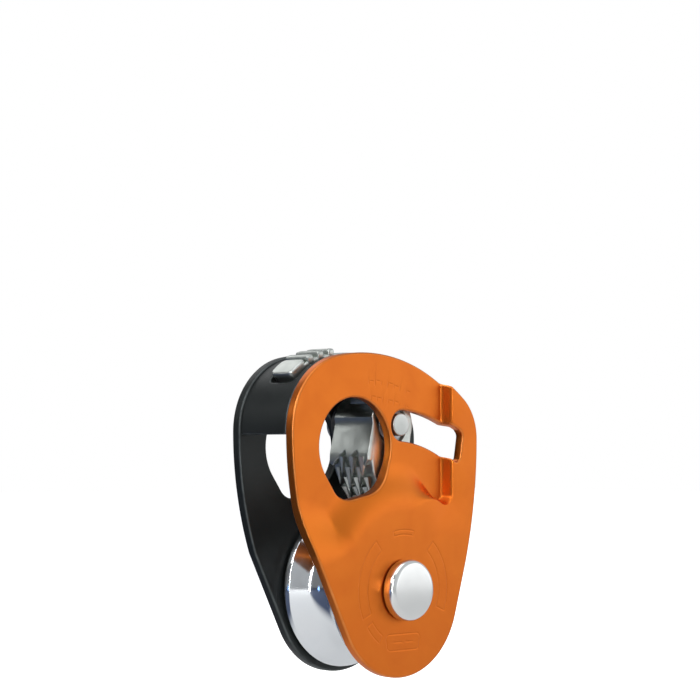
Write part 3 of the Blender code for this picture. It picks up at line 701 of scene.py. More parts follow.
BALL_RING = make_ball_ring()
for side, middle in (("front", -BEARING_OFFSET), ("rear", BEARING_OFFSET)):
    balls = run_tree(f"{side}_balls", BALL_RING, bpy.data.meshes.new(f"{side}_balls"),
                     {"Centre": (AXIS.x, middle * MM, AXIS.z), "Circle": BALL_CIRCLE * MM,
                      "Ball Radius": BALL_RADIUS * MM, "Count": 8, "Material": BEARING})
    stands_for(balls, f"{side}_ball_cage", "bearing_steel",
               *[f"{side}_bearing_ball_{i + 1}" for i in range(8)])
    cage = frame["nodes"][f"{side}_bearing_cage"]
    cage.material_slots[0].material = NYLON
    print(side, "balls", len(balls.data.polygons), "faces")

# %% [markdown]
# ## A plate with rounded edges
# Side plates, roof, cam and thumb tab are all thick sheet shapes with soft edges. Bevel modifiers
# struggle with curved outlines and holes, so one function builds them directly. Each outline gets
# a ladder of rings that rolls over the edge, and the flat faces between are filled by a
# constrained triangulation that may hold extra points, so a face can also rise and fall.

# %% The slab builder
SUPPORT = 0.15                  # a narrow flat ring keeps the rolled edge's shading off the face


def left_normals(points):
    ahead = np.roll(points, -1, axis=0) - points
    behind = points - np.roll(points, 1, axis=0)
    ahead /= np.linalg.norm(ahead, axis=1)[:, None]
    behind /= np.linalg.norm(behind, axis=1)[:, None]
    along = ahead + behind
    along /= np.linalg.norm(along, axis=1)[:, None]
    return np.stack([-along[:, 1], along[:, 0]], axis=1)


def to_frame(u, w, v):
    """Plan position (u, v) and depth w, in millimetres about the sheave's axis, as frame metres."""
    return np.stack([AXIS.x + u * MM, w * MM, AXIS.z + v * MM], axis=1)


def fill_face(bm, loops, height, extra, bend):
    """Triangulates the region between loops, with extra points inside it."""
    flat = [tuple(p) for loop in loops for p in loop]
    faces = []
    start = 0
    for loop in loops:
        faces.append(list(range(start, start + len(loop))))
        start += len(loop)
    points = [Vector(p) for p in flat] + [Vector(p) for p in extra]
    found, _, triangles, *_ = delaunay_2d_cdt(points, [], faces, 2, 1e-6)
    plan = np.array([tuple(p) for p in found])
    used = sorted({i for triangle in triangles for i in triangle})
    plan = plan[used]
    verts = dict(zip(used, [bm.verts.new(p) for p in bend(plan[:, 0], height(plan), plan[:, 1])]))
    for a, b, c in triangles:
        bm.faces.new((verts[a], verts[b], verts[c]))
    return list(verts.values()), plan


def slab(name, outer, holes, front, back, material, edge=0.5, steps=5, step=0.45, front_points=(),
         back_points=(), bend=to_frame, press=None, sharp=40.0, support=SUPPORT):
    """A solid between two faces; front(plan) and back(plan) give the depth at (n, 2) plan points."""
    bm = bmesh.new()
    # This layer marks rounded edges for the brighter edge tone, which is rubbed wear and, on the orange
    # plate, also a painted highlight.
    wear_and_highlight = bm.verts.layers.float.new("edge")
    # This layer holds the mask for a painted reflection tint along the front plate's press ramp.
    press_sheen = bm.verts.layers.float.new("press_sheen")
    loops = [np.array(walk(outer, step))] + [np.array(walk(hole, step)[::-1]) for hole in holes]
    roll = [(edge + support, 0.0, 0.0)]
    for k in range(steps + 1):
        t = math.pi / 2 * k / steps
        roll.append((edge * (1 - math.sin(t)), edge * (1 - math.cos(t)), math.sin(2 * t)))
    for loop in loops:
        normals = left_normals(loop)
        rows = []
        for inset, rise, mark in roll:
            plan = loop + normals * inset
            rows.append((bend(plan[:, 0], front(plan) + rise, plan[:, 1]), mark, plan))
        for inset, rise, mark in reversed(roll):
            plan = loop + normals * inset
            rows.append((bend(plan[:, 0], back(plan) - rise, plan[:, 1]), mark, plan))
        made = []
        for corners, mark, plan in rows:
            ring_verts = [bm.verts.new(p) for p in corners]
            amounts = press(plan) if press else np.zeros(len(plan))
            for vert, amount in zip(ring_verts, amounts):
                vert[wear_and_highlight] = mark
                vert[press_sheen] = amount
            made.append(ring_verts)
        for lower, upper in zip(made, made[1:]):
            for i in range(len(lower)):
                j = (i + 1) % len(lower)
                bm.faces.new((lower[i], lower[j], upper[j], upper[i]))
    inset_loops = [loop + left_normals(loop) * (edge + support) for loop in loops]
    for height, extra in ((front, front_points), (back, back_points)):
        verts, plan = fill_face(bm, inset_loops, height, extra, bend)
        if press:
            for vert, amount in zip(verts, press(plan)):
                vert[press_sheen] = amount
    mesh = bpy.data.meshes.new(name)
    bm.to_mesh(mesh)
    bm.free()
    tidy_mesh(mesh, sharp)
    mesh.materials.append(material)
    piece = bpy.data.objects.new(name, mesh)
    bpy.context.scene.collection.objects.link(piece)
    print(name, len(mesh.polygons), "faces, closed:", is_closed(mesh))
    return piece


def is_closed(mesh):
    bm = bmesh.new()
    bm.from_mesh(mesh)
    closed = all(edge.is_manifold for edge in bm.edges)
    bm.free()
    return closed


def level(height):
    return lambda plan: np.full(len(plan), float(height))


def join(target, *others):
    """Merges other pieces into the target's mesh."""
    bm = bmesh.new()
    bm.from_mesh(target.data)
    for other in others:
        bm.from_mesh(other.data)
        bpy.data.objects.remove(other)
    bm.to_mesh(target.data)
    bm.free()


# %% [markdown]
# ## Side plate outlines
# Both plates share one outline: a round lobe over the sheave, two nearly straight flanks and broad
# shoulders. The front plate also has a curved slot, concentric with the sheave, so that it can
# swing past the end of the cam stud.

# %% Outlines of plates, eye and slot
LOBE_CENTRE = (-0.7, -1.0)
LOBE_RADIUS = 17.4
SHOULDER = (12.0, 32.0)
SHOULDER_RADIUS = 11.0
RIGHT_FLANK_RADIUS = 100.0
LEFT_FLANK_RADIUS = 75.0
LEFT_SHOULDER_RADIUS = 16.0
TOP_CENTRE = (-8.0, 6.6)
RIGHT_TOP_ANGLE = 51.8
LEFT_TOP_ANGLE = 101.2
TOP_RADIUS = math.dist(SHOULDER, TOP_CENTRE) + SHOULDER_RADIUS
LEFT_SHOULDER = polar(TOP_CENTRE, TOP_RADIUS - LEFT_SHOULDER_RADIUS, LEFT_TOP_ANGLE)


def plate_outline():
    right_flank = (SHOULDER[0] + SHOULDER_RADIUS - RIGHT_FLANK_RADIUS, SHOULDER[1])
    left_flank = (LEFT_SHOULDER[0] - LEFT_SHOULDER_RADIUS + LEFT_FLANK_RADIUS, LEFT_SHOULDER[1])
    points = arc(LOBE_CENTRE, LOBE_RADIUS, 208, 344, 2)
    points += arc(right_flank, RIGHT_FLANK_RADIUS, -16, 0, 0.5)
    points += arc(SHOULDER, SHOULDER_RADIUS, 0, RIGHT_TOP_ANGLE, 2)[1:]
    points += arc(TOP_CENTRE, TOP_RADIUS, RIGHT_TOP_ANGLE, LEFT_TOP_ANGLE, 1)[1:]
    points += arc(LEFT_SHOULDER, LEFT_SHOULDER_RADIUS, LEFT_TOP_ANGLE, 180, 2)[1:]
    points += arc(left_flank, LEFT_FLANK_RADIUS, 180, 200, 0.5)[1:]
    return points


def eye_outline():
    """The egg-shaped eye: two circles and the tangents between them."""
    large, small = 10.3, 4.2
    centre, toe = (-11.4, 30.1), (-14.0, 23.3)
    towards = math.degrees(math.atan2(toe[1] - centre[1], toe[0] - centre[0]))
    spread = math.degrees(math.acos((large - small) / math.dist(centre, toe)))
    points = arc(centre, large, towards + spread, towards + 360 - spread)
    return points + arc(toe, small, towards - spread, towards + spread, 5)


def slot_outline():
    axis = (0.0, 0.0)
    inner, outer, start = 31.4, 38.0, 85.9
    points = arc(axis, outer, 62.4, start, 1)
    points += arc(polar(axis, (inner + outer) / 2, start), (outer - inner) / 2, start, start + 180, 6)[1:]
    points += arc(axis, inner, start, 60, 1)[1:]
    points += arc((16.3, 28.2), 1.3, 245, 348, 10)
    return points + arc((16.9, 32.3), 1.4, -12, 55, 10)


def circle(centre, radius, step=5.0):
    return arc(centre, radius, 0, 360, step)[:-1]


print("plate outline", len(plate_outline()), "points, top radius", round(TOP_RADIUS, 2))

# %% [markdown]
# ## The jogged front plate
# The front plate is pressed so that its upper left area lies 2.7 mm deeper than the rest: the
# connector pulls on both plates evenly, and the raised part leaves room for the sheave. The press
# line falls steeply at the right, turns with a small radius and then runs round the sheave as a
# soft ramp that widens to the left. One path with a width at each point describes it, and the
# face's depth at any point follows from its distance to that path.

# %% Press line
PRESS_DEPTH = 2.7
WALL_X = 14.6
BEND_RADIUS = 21.9
CORNER = 1.8
BACK_SHIFT = 1.1                # the same press line lies further out on the rear face
WALL_HALF = 0.62                # half width of the steep wall
RAMP_WIDENING = 4.2             # how much wider each half is on the soft ramp


def press_path():
    """Points of the press line from the top edge to the left one, with a half width at each."""
    corner_x = WALL_X - CORNER
    corner_z = math.sqrt((BEND_RADIUS + CORNER) ** 2 - corner_x ** 2)
    seen = math.degrees(math.atan2(corner_z, corner_x))
    wall = [(WALL_X, z, WALL_HALF) for z in np.linspace(54.0, corner_z, 40)]
    turn = [(x, z, WALL_HALF) for x, z in arc((corner_x, corner_z), CORNER, 0, seen - 180, 8)[1:]]
    bend = arc((0.0, 0.0), BEND_RADIUS, seen, 146, 1.5)[1:]
    ramp = [(x, z, WALL_HALF + RAMP_WIDENING * smooth_step(3.5 * i / len(bend)))
            for i, (x, z) in enumerate(bend)]
    end = ramp[-1]
    full = WALL_HALF + RAMP_WIDENING
    away = [(end[0] - d, end[1] + 0.02 * d, full + 0.25 * d) for d in np.linspace(0.6, 16, 26)]
    return np.array(wall + turn + ramp + away)


PRESS = press_path()


def press_distance(plan):
    """Signed distance to the press line, in half widths; positive in the set-back area."""
    starts, ends = PRESS[:-1, :2], PRESS[1:, :2]
    along = ends - starts
    lengths = (along ** 2).sum(axis=1)
    offset = plan[:, None, :] - starts[None]
    t = np.clip((offset * along).sum(axis=2) / lengths, 0, 1)
    gap = offset - t[..., None] * along
    distance = np.sqrt((gap ** 2).sum(axis=2))
    nearest = distance.argmin(axis=1)
    rows = np.arange(len(plan))
    cross = along[nearest, 0] * offset[rows, nearest, 1] - along[nearest, 1] * offset[rows, nearest, 0]
    width = PRESS[nearest, 2] + (PRESS[nearest + 1, 2] - PRESS[nearest, 2]) * t[rows, nearest]
    return -np.sign(cross) * distance[rows, nearest], width


def press_share(plan, shift=0.0):
    distance, width = press_distance(plan)
    return smooth_step((distance + shift) / (2 * width) + 0.5)


def press_rows(shift=0.0, rows=11):
    """Extra points in rows along the press line, so that the ramp is well described."""
    middle = (PRESS[1:, :2] + PRESS[:-1, :2]) / 2
    width = (PRESS[1:, 2] + PRESS[:-1, 2]) / 2
    along = PRESS[1:, :2] - PRESS[:-1, :2]
    along /= np.linalg.norm(along, axis=1)[:, None]
    right = np.stack([along[:, 1], -along[:, 0]], axis=1)
    points = []
    for share in np.linspace(-1.1, 1.1, rows):
        points += list(middle + right * (share * width - shift)[:, None])
    return points


print("press line", len(PRESS), "points")

# %% [markdown]
# ## Marks pressed in the front face
# Real plates carry shallow stamped pictograms. Plain arcs round the axle, a rounded frame below it
# and two rows of short bars near the top stand in for them. Each mark is a stroke, and the face
# sinks a little wherever it is near one.

# %% Stroke marks
STROKE_WIDTH = 0.18
STROKE_DEPTH = 0.05


def band_mark(inner, outer, start, end):
    """The outline of a curved band round the axle."""
    path = arc((0, 0), outer, start, end, 3) + arc((0, 0), inner, end, start, 3)
    return path + path[:1]


def bar_rows():
    """Two rows of short bars that follow the top edge."""
    bars = []
    for row, radius in enumerate((TOP_RADIUS - 6.2, TOP_RADIUS - 9.6)):
        for i in range(7):
            angle = 89.5 - 2.9 * i - 1.2 * row
            tall = 0.55 if (i + row) % 2 else 0.3
            bars.append([polar(TOP_CENTRE, radius - tall, angle), polar(TOP_CENTRE, radius + tall, angle)])
            if i % 3 != 2:
                bars.append([polar(TOP_CENTRE, radius + 0.7 * tall, angle - 0.7),
                             polar(TOP_CENTRE, radius + 0.7 * tall, angle - 1.9)])
    return bars


def frame_mark():
    """A rounded frame below the axle with two short bars in it."""
    corners = [(-4.9, -12.6, 1.0), (-5.4, -9.2, 1.0), (4.9, -9.2, 1.0), (4.4, -12.6, 1.0)]
    frame_path = [p[:2] for p in rounded(corners)]
    return [frame_path + frame_path[:1], [(-2.9, -10.9), (-0.7, -10.9)], [(0.6, -10.9), (2.4, -10.9)]]


STROKES = [band_mark(10.6, 13.2, 128, 205), band_mark(10.6, 13.2, -22, 48), band_mark(11.6, 12.6, 76, 104),
           band_mark(11.2, 13.0, 214, 236)] + bar_rows() + frame_mark()
STARTS = np.array([a for stroke in STROKES for a in stroke[:-1]])
ENDS = np.array([b for stroke in STROKES for b in stroke[1:]])


def stroke_depth(plan):
    """How far the face sinks at each plan point."""
    depth = np.zeros(len(plan))
    along = ENDS - STARTS
    lengths = (along ** 2).sum(axis=1)
    for begin in range(0, len(plan), 2000):
        part = plan[begin:begin + 2000]
        offset = part[:, None, :] - STARTS[None]
        t = np.clip((offset * along).sum(axis=2) / lengths, 0, 1)
        gap = offset - t[..., None] * along
        nearest = np.sqrt((gap ** 2).sum(axis=2)).min(axis=1)
        depth[begin:begin + 2000] = STROKE_DEPTH * smooth_step(1 - nearest / STROKE_WIDTH)
    return depth


def stroke_points(spacing=0.2):
    points = []
    for a, b in zip(STARTS, ENDS):
        length = np.linalg.norm(b - a)
        direction = (b - a) / length
        side = np.array([-direction[1], direction[0]])
        steps = max(2, math.ceil((length + 3 * STROKE_WIDTH) / spacing))
        for t in np.linspace(-1.5 * STROKE_WIDTH, length + 1.5 * STROKE_WIDTH, steps):
            for share in (-1.7, -1.0, -0.5, 0.0, 0.5, 1.0, 1.7):
                points.append(a + direction * t + side * (share * STROKE_WIDTH))
    return points


# %% Front plate
PLATE_EDGE = 0.45


def swing_front(plan):
    return -PLATE_FACE + PRESS_DEPTH * press_share(plan) + stroke_depth(plan)


def swing_back(plan):
    return -PLATE_INNER + PRESS_DEPTH * press_share(plan, BACK_SHIFT)


# Mask for the painted reflection tint, strongest in the middle of the press ramp.
def swing_press_sheen(plan):
    share = press_share(plan)
    return 4 * share * (1 - share)


swing_plate = slab("swing_plate_shell", plate_outline(), [eye_outline(), slot_outline(), circle((0, 0), 5.0)],
                   swing_front, swing_back, ORANGE, edge=PLATE_EDGE,
                   front_points=press_rows() + stroke_points(), back_points=press_rows(BACK_SHIFT),
                   press=swing_press_sheen, support=0.05)
stands_for(swing_plate, "swing_plate", "orange_anodised", "swing_side_plate")


# %% [markdown]
# ## The fixed plate and its roof
# The rear plate is flat black anodised aluminium. A roof of the same piece bends forward over the
# top, so that rope and cam are closed in. It is a flat strip wrapped over the shoulder and the top
# arc, so the same slab builder makes it, with a function that wraps plan positions round the arcs.
# The roof stands just inside the plate's edge, which leaves the thin line seen beside it.

# %% Fixed plate
ROOF_FOOT = 32.6
ROOF_FRONT = -5.45
ROOF_THICKNESS = 2.4
ROOF_INSET = 0.45
ROOF_END_ANGLE = 68.3
shoulder_radius = LEFT_SHOULDER_RADIUS - ROOF_INSET
top_radius = TOP_RADIUS - ROOF_INSET
straight_part = LEFT_SHOULDER[1] - ROOF_FOOT
shoulder_part = shoulder_radius * math.radians(180 - LEFT_TOP_ANGLE)

rivet_holes = [circle((0, 0), TENON_RADIUS + GAP), circle(CAM_PIVOT, STUD_RADIUS + GAP, 10)]
fixed_plate = slab("fixed_plate_shell", plate_outline(), [eye_outline()] + rivet_holes,
                   level(PLATE_INNER), level(PLATE_FACE), BLACK, edge=PLATE_EDGE)


# %% Roof
def along_roof(degrees, on_top=False):
    """Distance along the roof of an angle about the left shoulder's centre, or the top arc's."""
    if on_top:
        return straight_part + shoulder_part + top_radius * math.radians(LEFT_TOP_ANGLE - degrees)
    return straight_part + shoulder_radius * math.radians(180 - degrees)


def wrap_roof(u, w, v):
    """Wraps a strip over the roof line: u runs along it, w goes inwards and v is across."""
    first = math.pi - (u - straight_part) / shoulder_radius
    second = math.radians(LEFT_TOP_ANGLE) - (u - straight_part - shoulder_part) / top_radius
    on_straight = u < straight_part
    on_shoulder = u < straight_part + shoulder_part
    x = np.where(on_straight, LEFT_SHOULDER[0] - shoulder_radius + w,
                 np.where(on_shoulder, LEFT_SHOULDER[0] + (shoulder_radius - w) * np.cos(first),
                          TOP_CENTRE[0] + (top_radius - w) * np.cos(second)))
    z = np.where(on_straight, ROOF_FOOT + u,
                 np.where(on_shoulder, LEFT_SHOULDER[1] + (shoulder_radius - w) * np.sin(first),
                          TOP_CENTRE[1] + (top_radius - w) * np.sin(second)))
    return to_frame(x, v, z)


def rounded_box(u0, u1, v0, v1, radius):
    return [p[:2] for p in rounded([(u0, v0, radius), (u1, v0, radius), (u1, v1, radius), (u0, v1, radius)])]


def grid_points(u0, u1, v0, v1, step_u=0.9, step_v=1.3):
    return [(u, v) for u in np.arange(u0, u1, step_u) for v in np.arange(v0, v1, step_v)]


TAB_MIDDLE = 0.3
TAB_HALF = 3.5
roof_end = along_roof(ROOF_END_ANGLE, True)
slot_start = along_roof(139.5)
slot_end = along_roof(71.5, True)
roof_grid = grid_points(0.9, roof_end - 0.8, ROOF_FRONT + 0.9, PLATE_INNER + 0.2)
SLOT_ROOM = 0.4
tab_slot = rounded_box(slot_start, slot_end, TAB_MIDDLE - TAB_HALF - SLOT_ROOM,
                       TAB_MIDDLE + TAB_HALF + SLOT_ROOM, 1.5)
roof = slab("roof", rounded_box(0.0, roof_end, ROOF_FRONT, PLATE_INNER + 0.9, 0.7), [tab_slot],
            level(0.0), level(ROOF_THICKNESS), BLACK, edge=0.35, front_points=roof_grid,
            back_points=roof_grid, bend=wrap_roof)
join(fixed_plate, roof)
stands_for(fixed_plate, "frame", "black_anodised", "fixed_side_plate")

# %% [markdown]
# ## The cam
# The cam is cast steel. Its left face is smooth above and breaks into pointed lobes below; rows of
# long slanted spikes cover the nose and bite the rope. An arm carries a thumb tab out through the
# roof, smooth at its tip and ribbed behind. The core and the smooth face are slabs, while the
# spikes and the ribs repeat along a path, so Geometry Nodes place them.

# %% Cam core and smooth face
def cam_front(plan):
    """The cam's front side, sunk round the snap ring and drawn in at the nose."""
    radius = np.hypot(plan[:, 0] - CAM_PIVOT[0], plan[:, 1] - CAM_PIVOT[1])
    nose = 1.5 * (1 - smooth_step((plan[:, 1] - 18.6) / 3.4))
    return CAM_FRONT + nose + 1.1 * (1 - smooth_step((radius - 4.3) / 0.15))


def cam_back(plan):
    radius = np.hypot(plan[:, 0] - CAM_PIVOT[0], plan[:, 1] - CAM_PIVOT[1])
    nose = 1.5 * (1 - smooth_step((plan[:, 1] - 18.6) / 3.4))
    return CAM_BACK - nose - 3.7 * (1 - smooth_step((radius - 4.8) / 0.15))


def ring_points(radii):
    return [p for radius in radii for p in circle(CAM_PIVOT, radius, 6)]


core_corners = [(-2.9, 34.6, 0), (-3.7, 31.0, 2), (-4.2, 28.0, 2), (-3.4, 24.6, 3), (-2.2, 22.2, 3),
                (-0.8, 20.4, 3), (0.9, 19.0, 3), (2.9, 18.0, 3), (5.0, 17.9, 3), (7.0, 19.0, 2),
                (8.8, 20.8, 2), (9.6, 24.0, 2), (9.0, 29.0, 3)]
core_outline = [p[:2] for p in rounded(core_corners)] + arc(CAM_PIVOT, 6.2, -20, 165)
side_grid = grid_points(-3.0, 9.0, 18.5, 24.0, 0.8, 0.5)
cam_bore = circle(CAM_PIVOT, STUD_RADIUS + GAP, 8)
cam_piece = slab("cam_body", core_outline, [cam_bore], cam_front, cam_back, CAST, edge=0.35,
                 front_points=ring_points((4.25, 4.32, 4.38, 4.44, 4.55)) + side_grid,
                 back_points=ring_points((4.75, 4.82, 4.88, 4.94, 5.05)) + side_grid)

FACE_LINE = np.array([(-3.9, 36.8), (-3.6, 35.0), (-4.6, 31.0), (-5.15, 28.6), (-5.2, 27.0), (-4.9, 25.3),
                      (-4.0, 23.2)])
face_reach = np.concatenate([[0.0], np.cumsum(np.linalg.norm(np.diff(FACE_LINE, axis=0), axis=1))])


def along_line(u, values, reach=0.6):
    """A coordinate of the face line at distance u, and its change from just before to just after."""
    change = np.interp(u + reach, face_reach, values) - np.interp(u - reach, face_reach, values)
    return np.interp(u, face_reach, values), change


def wrap_face(u, w, v):
    """Lays a strip on the cam's left face: u runs down it, w goes into the cam, v is across."""
    (x, ahead_x), (z, ahead_z) = [along_line(u, FACE_LINE[:, column]) for column in (0, 1)]
    length = np.hypot(ahead_x, ahead_z)
    return to_frame(x - w * ahead_z / length, v, z + w * ahead_x / length)


# Down the front edge, then lobe, valley, lobe, valley, lobe and back up
face_corners = [(0.3, CAM_FRONT), (9.6, CAM_FRONT), (11.2, -3.85), (7.5, -1.55), (9.8, 1.1), (7.5, 2.05),
                (11.0, 5.9), (10.4, CAM_BACK), (0.3, CAM_BACK)]
face_outline = [p[:2] for p in rounded([(*corner, 0.3) for corner in face_corners])]
face_grid = grid_points(0.9, 11.0, CAM_FRONT + 0.5, CAM_BACK - 0.4, 0.7, 0.8)
face = slab("cam_face", face_outline, [], level(0.0), level(1.5), CAST, edge=0.2, steps=3, step=0.35,
            front_points=face_grid, back_points=face_grid, bend=wrap_face, support=0.06)


# %% Thumb tab and its arm
def tab_part(name, u0, u1, proud, radius):
    inset = 0.15
    low, high = TAB_MIDDLE - TAB_HALF + inset, TAB_MIDDLE + TAB_HALF - inset
    points = grid_points(u0 + 0.9, u1 - 0.8, low + 0.9, high - 0.7)
    return slab(name, rounded_box(u0, u1, low, high, radius), [], level(-proud), level(2.2), CAST, edge=0.45,
                front_points=points, back_points=points, bend=wrap_roof)


patch_end = along_roof(117.5)
rib_start = along_roof(113.5)
rib_end = along_roof(97.0, True)
tab_end = along_roof(86.0, True)
patch = tab_part("tab_patch", along_roof(135.6), patch_end, 1.35, 1.3)
rib_base = tab_part("tab_base", patch_end - 1.5, tab_end, 0.55, 0.8)
# The arm ends on the hub's rim, clear of the spring's pocket and of the stud's bore
arm_corners = [(-12.0, 48.6, 2.0), (-16.0, 45.5, 1.5), (-7.0, 44.0, 3.0), (-2.2, 42.6, 1.0),
               (-2.1, 38.5, 0.7), (1.6, 40.4, 0.7), (-1.4, 45.6, 1.5), (-3.6, 48.6, 1.0)]
arm = slab("tab_arm", [p[:2] for p in rounded(arm_corners)], [], level(TAB_MIDDLE - TAB_HALF + 0.1),
           level(TAB_MIDDLE + TAB_HALF - 0.1), CAST, edge=0.5, support=0.06)
join(cam_piece, face, patch, rib_base, arm)


# %% Ribs and spikes along a path
def path_mesh(name, points):
    """An open line through (x, y, z) points in millimetres about the sheave axis."""
    mesh = bpy.data.meshes.new(name)
    corners = [(AXIS.x + x * MM, y * MM, AXIS.z + z * MM) for x, y, z in points]
    mesh.from_pydata(corners, [(i, i + 1) for i in range(len(points) - 1)], [])
    return mesh


def make_rib_row():
    """Rounded bars across a path, a pitch apart, each leaning with the path."""
    tree, given = geometry_tree("rib_row", [("Pitch", "Float", 0.0024), ("Size", "Vector", None)])
    line = add_node(tree, "GeometryNodeMeshToCurve", {"Mesh": given["Geometry"]})
    points = add_node(tree, "GeometryNodeCurveToPoints", {"Curve": line.outputs[0], "Length": given["Pitch"]},
                      mode="LENGTH")
    bar = add_node(tree, "GeometryNodeMeshCube",
                   {"Size": given["Size"], "Vertices X": 2, "Vertices Y": 4, "Vertices Z": 2})
    round_bar = add_node(tree, "GeometryNodeSubdivisionSurface", {"Mesh": bar.outputs["Mesh"], "Level": 3,
                                                                  "Edge Crease": 0.35})
    smooth = add_node(tree, "GeometryNodeSetShadeSmooth", {"Geometry": round_bar.outputs[0]})
    turn = add_node(tree, "FunctionNodeAlignRotationToVector", {"Vector": points.outputs["Tangent"]},
                    axis="X", pivot_axis="Y")
    bars = add_node(tree, "GeometryNodeInstanceOnPoints",
                    {"Points": points.outputs["Points"], "Instance": smooth.outputs[0],
                     "Rotation": turn.outputs[0]})
    end_tree(tree, bars.outputs[0], given["Material"])
    return tree


def make_spike_rows():
    """Staggered rows of slanted spikes along a path, with a little difference from spike to spike."""
    tree, given = geometry_tree(
        "spike_rows", [("Pitch", "Float", 0.0023), ("Columns", "Int", 3), ("Spacing", "Float", 0.0036),
                       ("Length", "Float", 0.004), ("Radius", "Float", 0.001), ("Lean", "Float", 0.25),
                       ("Seed", "Int", 7)])
    line = add_node(tree, "GeometryNodeMeshToCurve", {"Mesh": given["Geometry"]})
    points = add_node(tree, "GeometryNodeCurveToPoints", {"Curve": line.outputs[0], "Length": given["Pitch"]},
                      mode="LENGTH")
    row = tree.nodes.new("GeometryNodeInputIndex").outputs[0]
    numbered = add_node(tree, "GeometryNodeStoreNamedAttribute",
                        {"Geometry": points.outputs["Points"], "Name": "row", "Value": row},
                        data_type="FLOAT", domain="POINT")
    copies = add_node(tree, "GeometryNodeDuplicateElements", {"Geometry": numbered.outputs[0],
                                                              "Amount": given["Columns"]}, domain="POINT")
    stored = add_node(tree, "GeometryNodeInputNamedAttribute", {"Name": "row"},
                      data_type="FLOAT").outputs["Attribute"]
    last = calculate(tree, "SUBTRACT", given["Columns"], 1.0)
    half = calculate(tree, "DIVIDE", last, 2.0)
    column = calculate(tree, "SUBTRACT", copies.outputs["Duplicate Index"], half)
    stagger = calculate(tree, "SUBTRACT", calculate(tree, "MODULO", stored, 2.0), 0.5)
    across = calculate(tree, "ADD", column, calculate(tree, "MULTIPLY", stagger, 0.5))
    shift = add_node(tree, "ShaderNodeCombineXYZ",
                     {"Y": calculate(tree, "MULTIPLY", across, given["Spacing"])})
    spread = add_node(tree, "GeometryNodeSetPosition", {"Geometry": copies.outputs["Geometry"],
                                                        "Offset": shift.outputs[0]})
    outward = add_node(tree, "ShaderNodeVectorMath", {0: (0.0, 1.0, 0.0), 1: points.outputs["Tangent"]},
                       operation="CROSS_PRODUCT")
    leaning = add_node(tree, "ShaderNodeVectorMath", {0: outward.outputs[0]}, operation="SCALE")
    tree.links.new(given["Lean"], leaning.inputs["Scale"])
    aim = add_node(tree, "ShaderNodeVectorMath", {0: points.outputs["Tangent"], 1: leaning.outputs[0]},
                   operation="ADD")
    turn = add_node(tree, "FunctionNodeAlignRotationToVector", {"Vector": aim.outputs[0]}, axis="Z")
    spike = add_node(tree, "GeometryNodeMeshCone",
                     {"Vertices": 7, "Side Segments": 3, "Radius Top": 0.00008,
                      "Radius Bottom": given["Radius"], "Depth": given["Length"]})
    size = add_node(tree, "FunctionNodeRandomValue", data_type="FLOAT")
    size.inputs[2].default_value = 0.88
    size.inputs[3].default_value = 1.12
    tree.links.new(given["Seed"], size.inputs["Seed"])
    spikes = add_node(tree, "GeometryNodeInstanceOnPoints",
                      {"Points": spread.outputs[0], "Instance": spike.outputs["Mesh"],
                       "Rotation": turn.outputs[0], "Scale": size.outputs[1]})
    end_tree(tree, spikes.outputs[0], given["Material"])
    return tree


RIB_ROW = make_rib_row()
SPIKE_ROWS = make_spike_rows()
rib_lift = -0.55


def roof_path(u0, u1, lift, count=40):
    u = np.linspace(u0, u1, count)
    spots = wrap_roof(u, np.full(count, lift), np.full(count, TAB_MIDDLE))
    return [((p[0] - AXIS.x) / MM, p[1] / MM, (p[2] - AXIS.z) / MM) for p in spots]


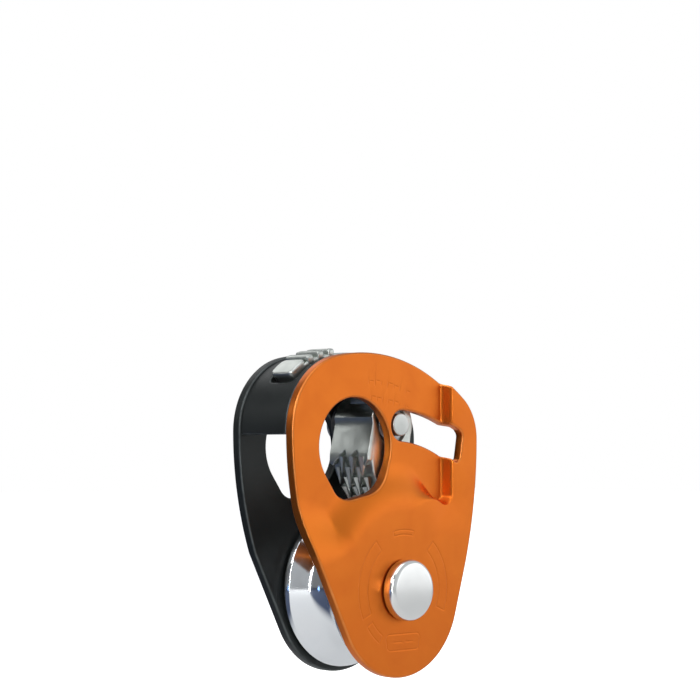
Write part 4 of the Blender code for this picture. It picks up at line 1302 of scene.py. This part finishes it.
ribs = run_tree("tab_ribs", RIB_ROW, path_mesh("rib_path", roof_path(rib_start, rib_end - 0.6, rib_lift)),
                {"Pitch": 0.0024, "Size": (0.0018, 0.0072, 0.0022), "Material": CAST}, sharp=60)
nose = [(-4.7, 28.0), (-4.3, 26.0), (-3.5, 24.0), (-2.4, 22.0), (-1.0, 20.3), (0.8, 18.9), (2.8, 17.9),
        (5.0, 17.7), (7.2, 18.9), (8.6, 20.4)]
CAM_MIDDLE = (CAM_FRONT + CAM_BACK) / 2
spikes = run_tree("nose_spikes", SPIKE_ROWS, path_mesh("nose_path", [(x, CAM_MIDDLE, z) for x, z in nose]),
                  {"Pitch": 0.0022, "Columns": 3, "Spacing": 0.0031, "Length": 0.0040, "Radius": 0.00105,
                   "Lean": 0.22, "Seed": 7, "Material": CAST}, sharp=20)
join(cam_piece, ribs, spikes)
stands_for(cam_piece, "cam", "cast_cam_steel", "cam")
print("cam", len(cam_piece.data.polygons), "faces")

# %% [markdown]
# ## Snap ring and spring
# An open snap ring in a groove of the stud holds the cam on, and a torsion spring in the hub's
# rear pocket presses it against the rope. The ring is one more slab. The coil is a spiral curve
# with a round section, so a small tree makes it from a radius, a number of turns and a wire size.

# %% Snap ring and coil
ring_outline = arc(CAM_PIVOT, 3.7, 40, 320, 6)[::-1] + arc(CAM_PIVOT, neck + 0.2, 40, 320, 8)
snap_ring = slab("snap_ring", ring_outline[::-1], [], level(CAM_FRONT + 0.25), level(CAM_FRONT + 0.75),
                 SPRING, edge=0.1, steps=3)
stands_for(snap_ring, "frame", "spring_steel", "cam_retaining_ring")


def make_coil():
    tree, given = geometry_tree(
        "coil", [("Turns", "Float", 3.25), ("Radius", "Float", 0.00385), ("Wire", "Float", 0.00035),
                 ("Height", "Float", 0.0025), ("Centre", "Vector", None)])
    spiral = add_node(tree, "GeometryNodeCurveSpiral",
                      {"Resolution": 40, "Rotations": given["Turns"], "Start Radius": given["Radius"],
                       "End Radius": given["Radius"], "Height": given["Height"]})
    wire = add_node(tree, "GeometryNodeCurvePrimitiveCircle", {"Resolution": 14, "Radius": given["Wire"]})
    swept = add_node(tree, "GeometryNodeCurveToMesh",
                     {"Curve": spiral.outputs[0], "Profile Curve": wire.outputs[0], "Fill Caps": True})
    placed = add_node(tree, "GeometryNodeTransform",
                      {"Geometry": swept.outputs[0], "Translation": given["Centre"],
                       "Rotation": (-math.pi / 2, 0.0, 0.0)})
    end_tree(tree, placed.outputs[0], given["Material"])
    return tree


COIL = make_coil()
spring = run_tree("torsion_coil", COIL, bpy.data.meshes.new("coil"),
                  {"Turns": 3.25, "Radius": 0.00385, "Wire": 0.00035, "Height": 0.00253,
                   "Centre": (PIVOT.x, 0.00375, PIVOT.z), "Material": SPRING})
stands_for(spring, "frame", "spring_steel", "cam_spring")
print("spring", len(spring.data.polygons), "faces")
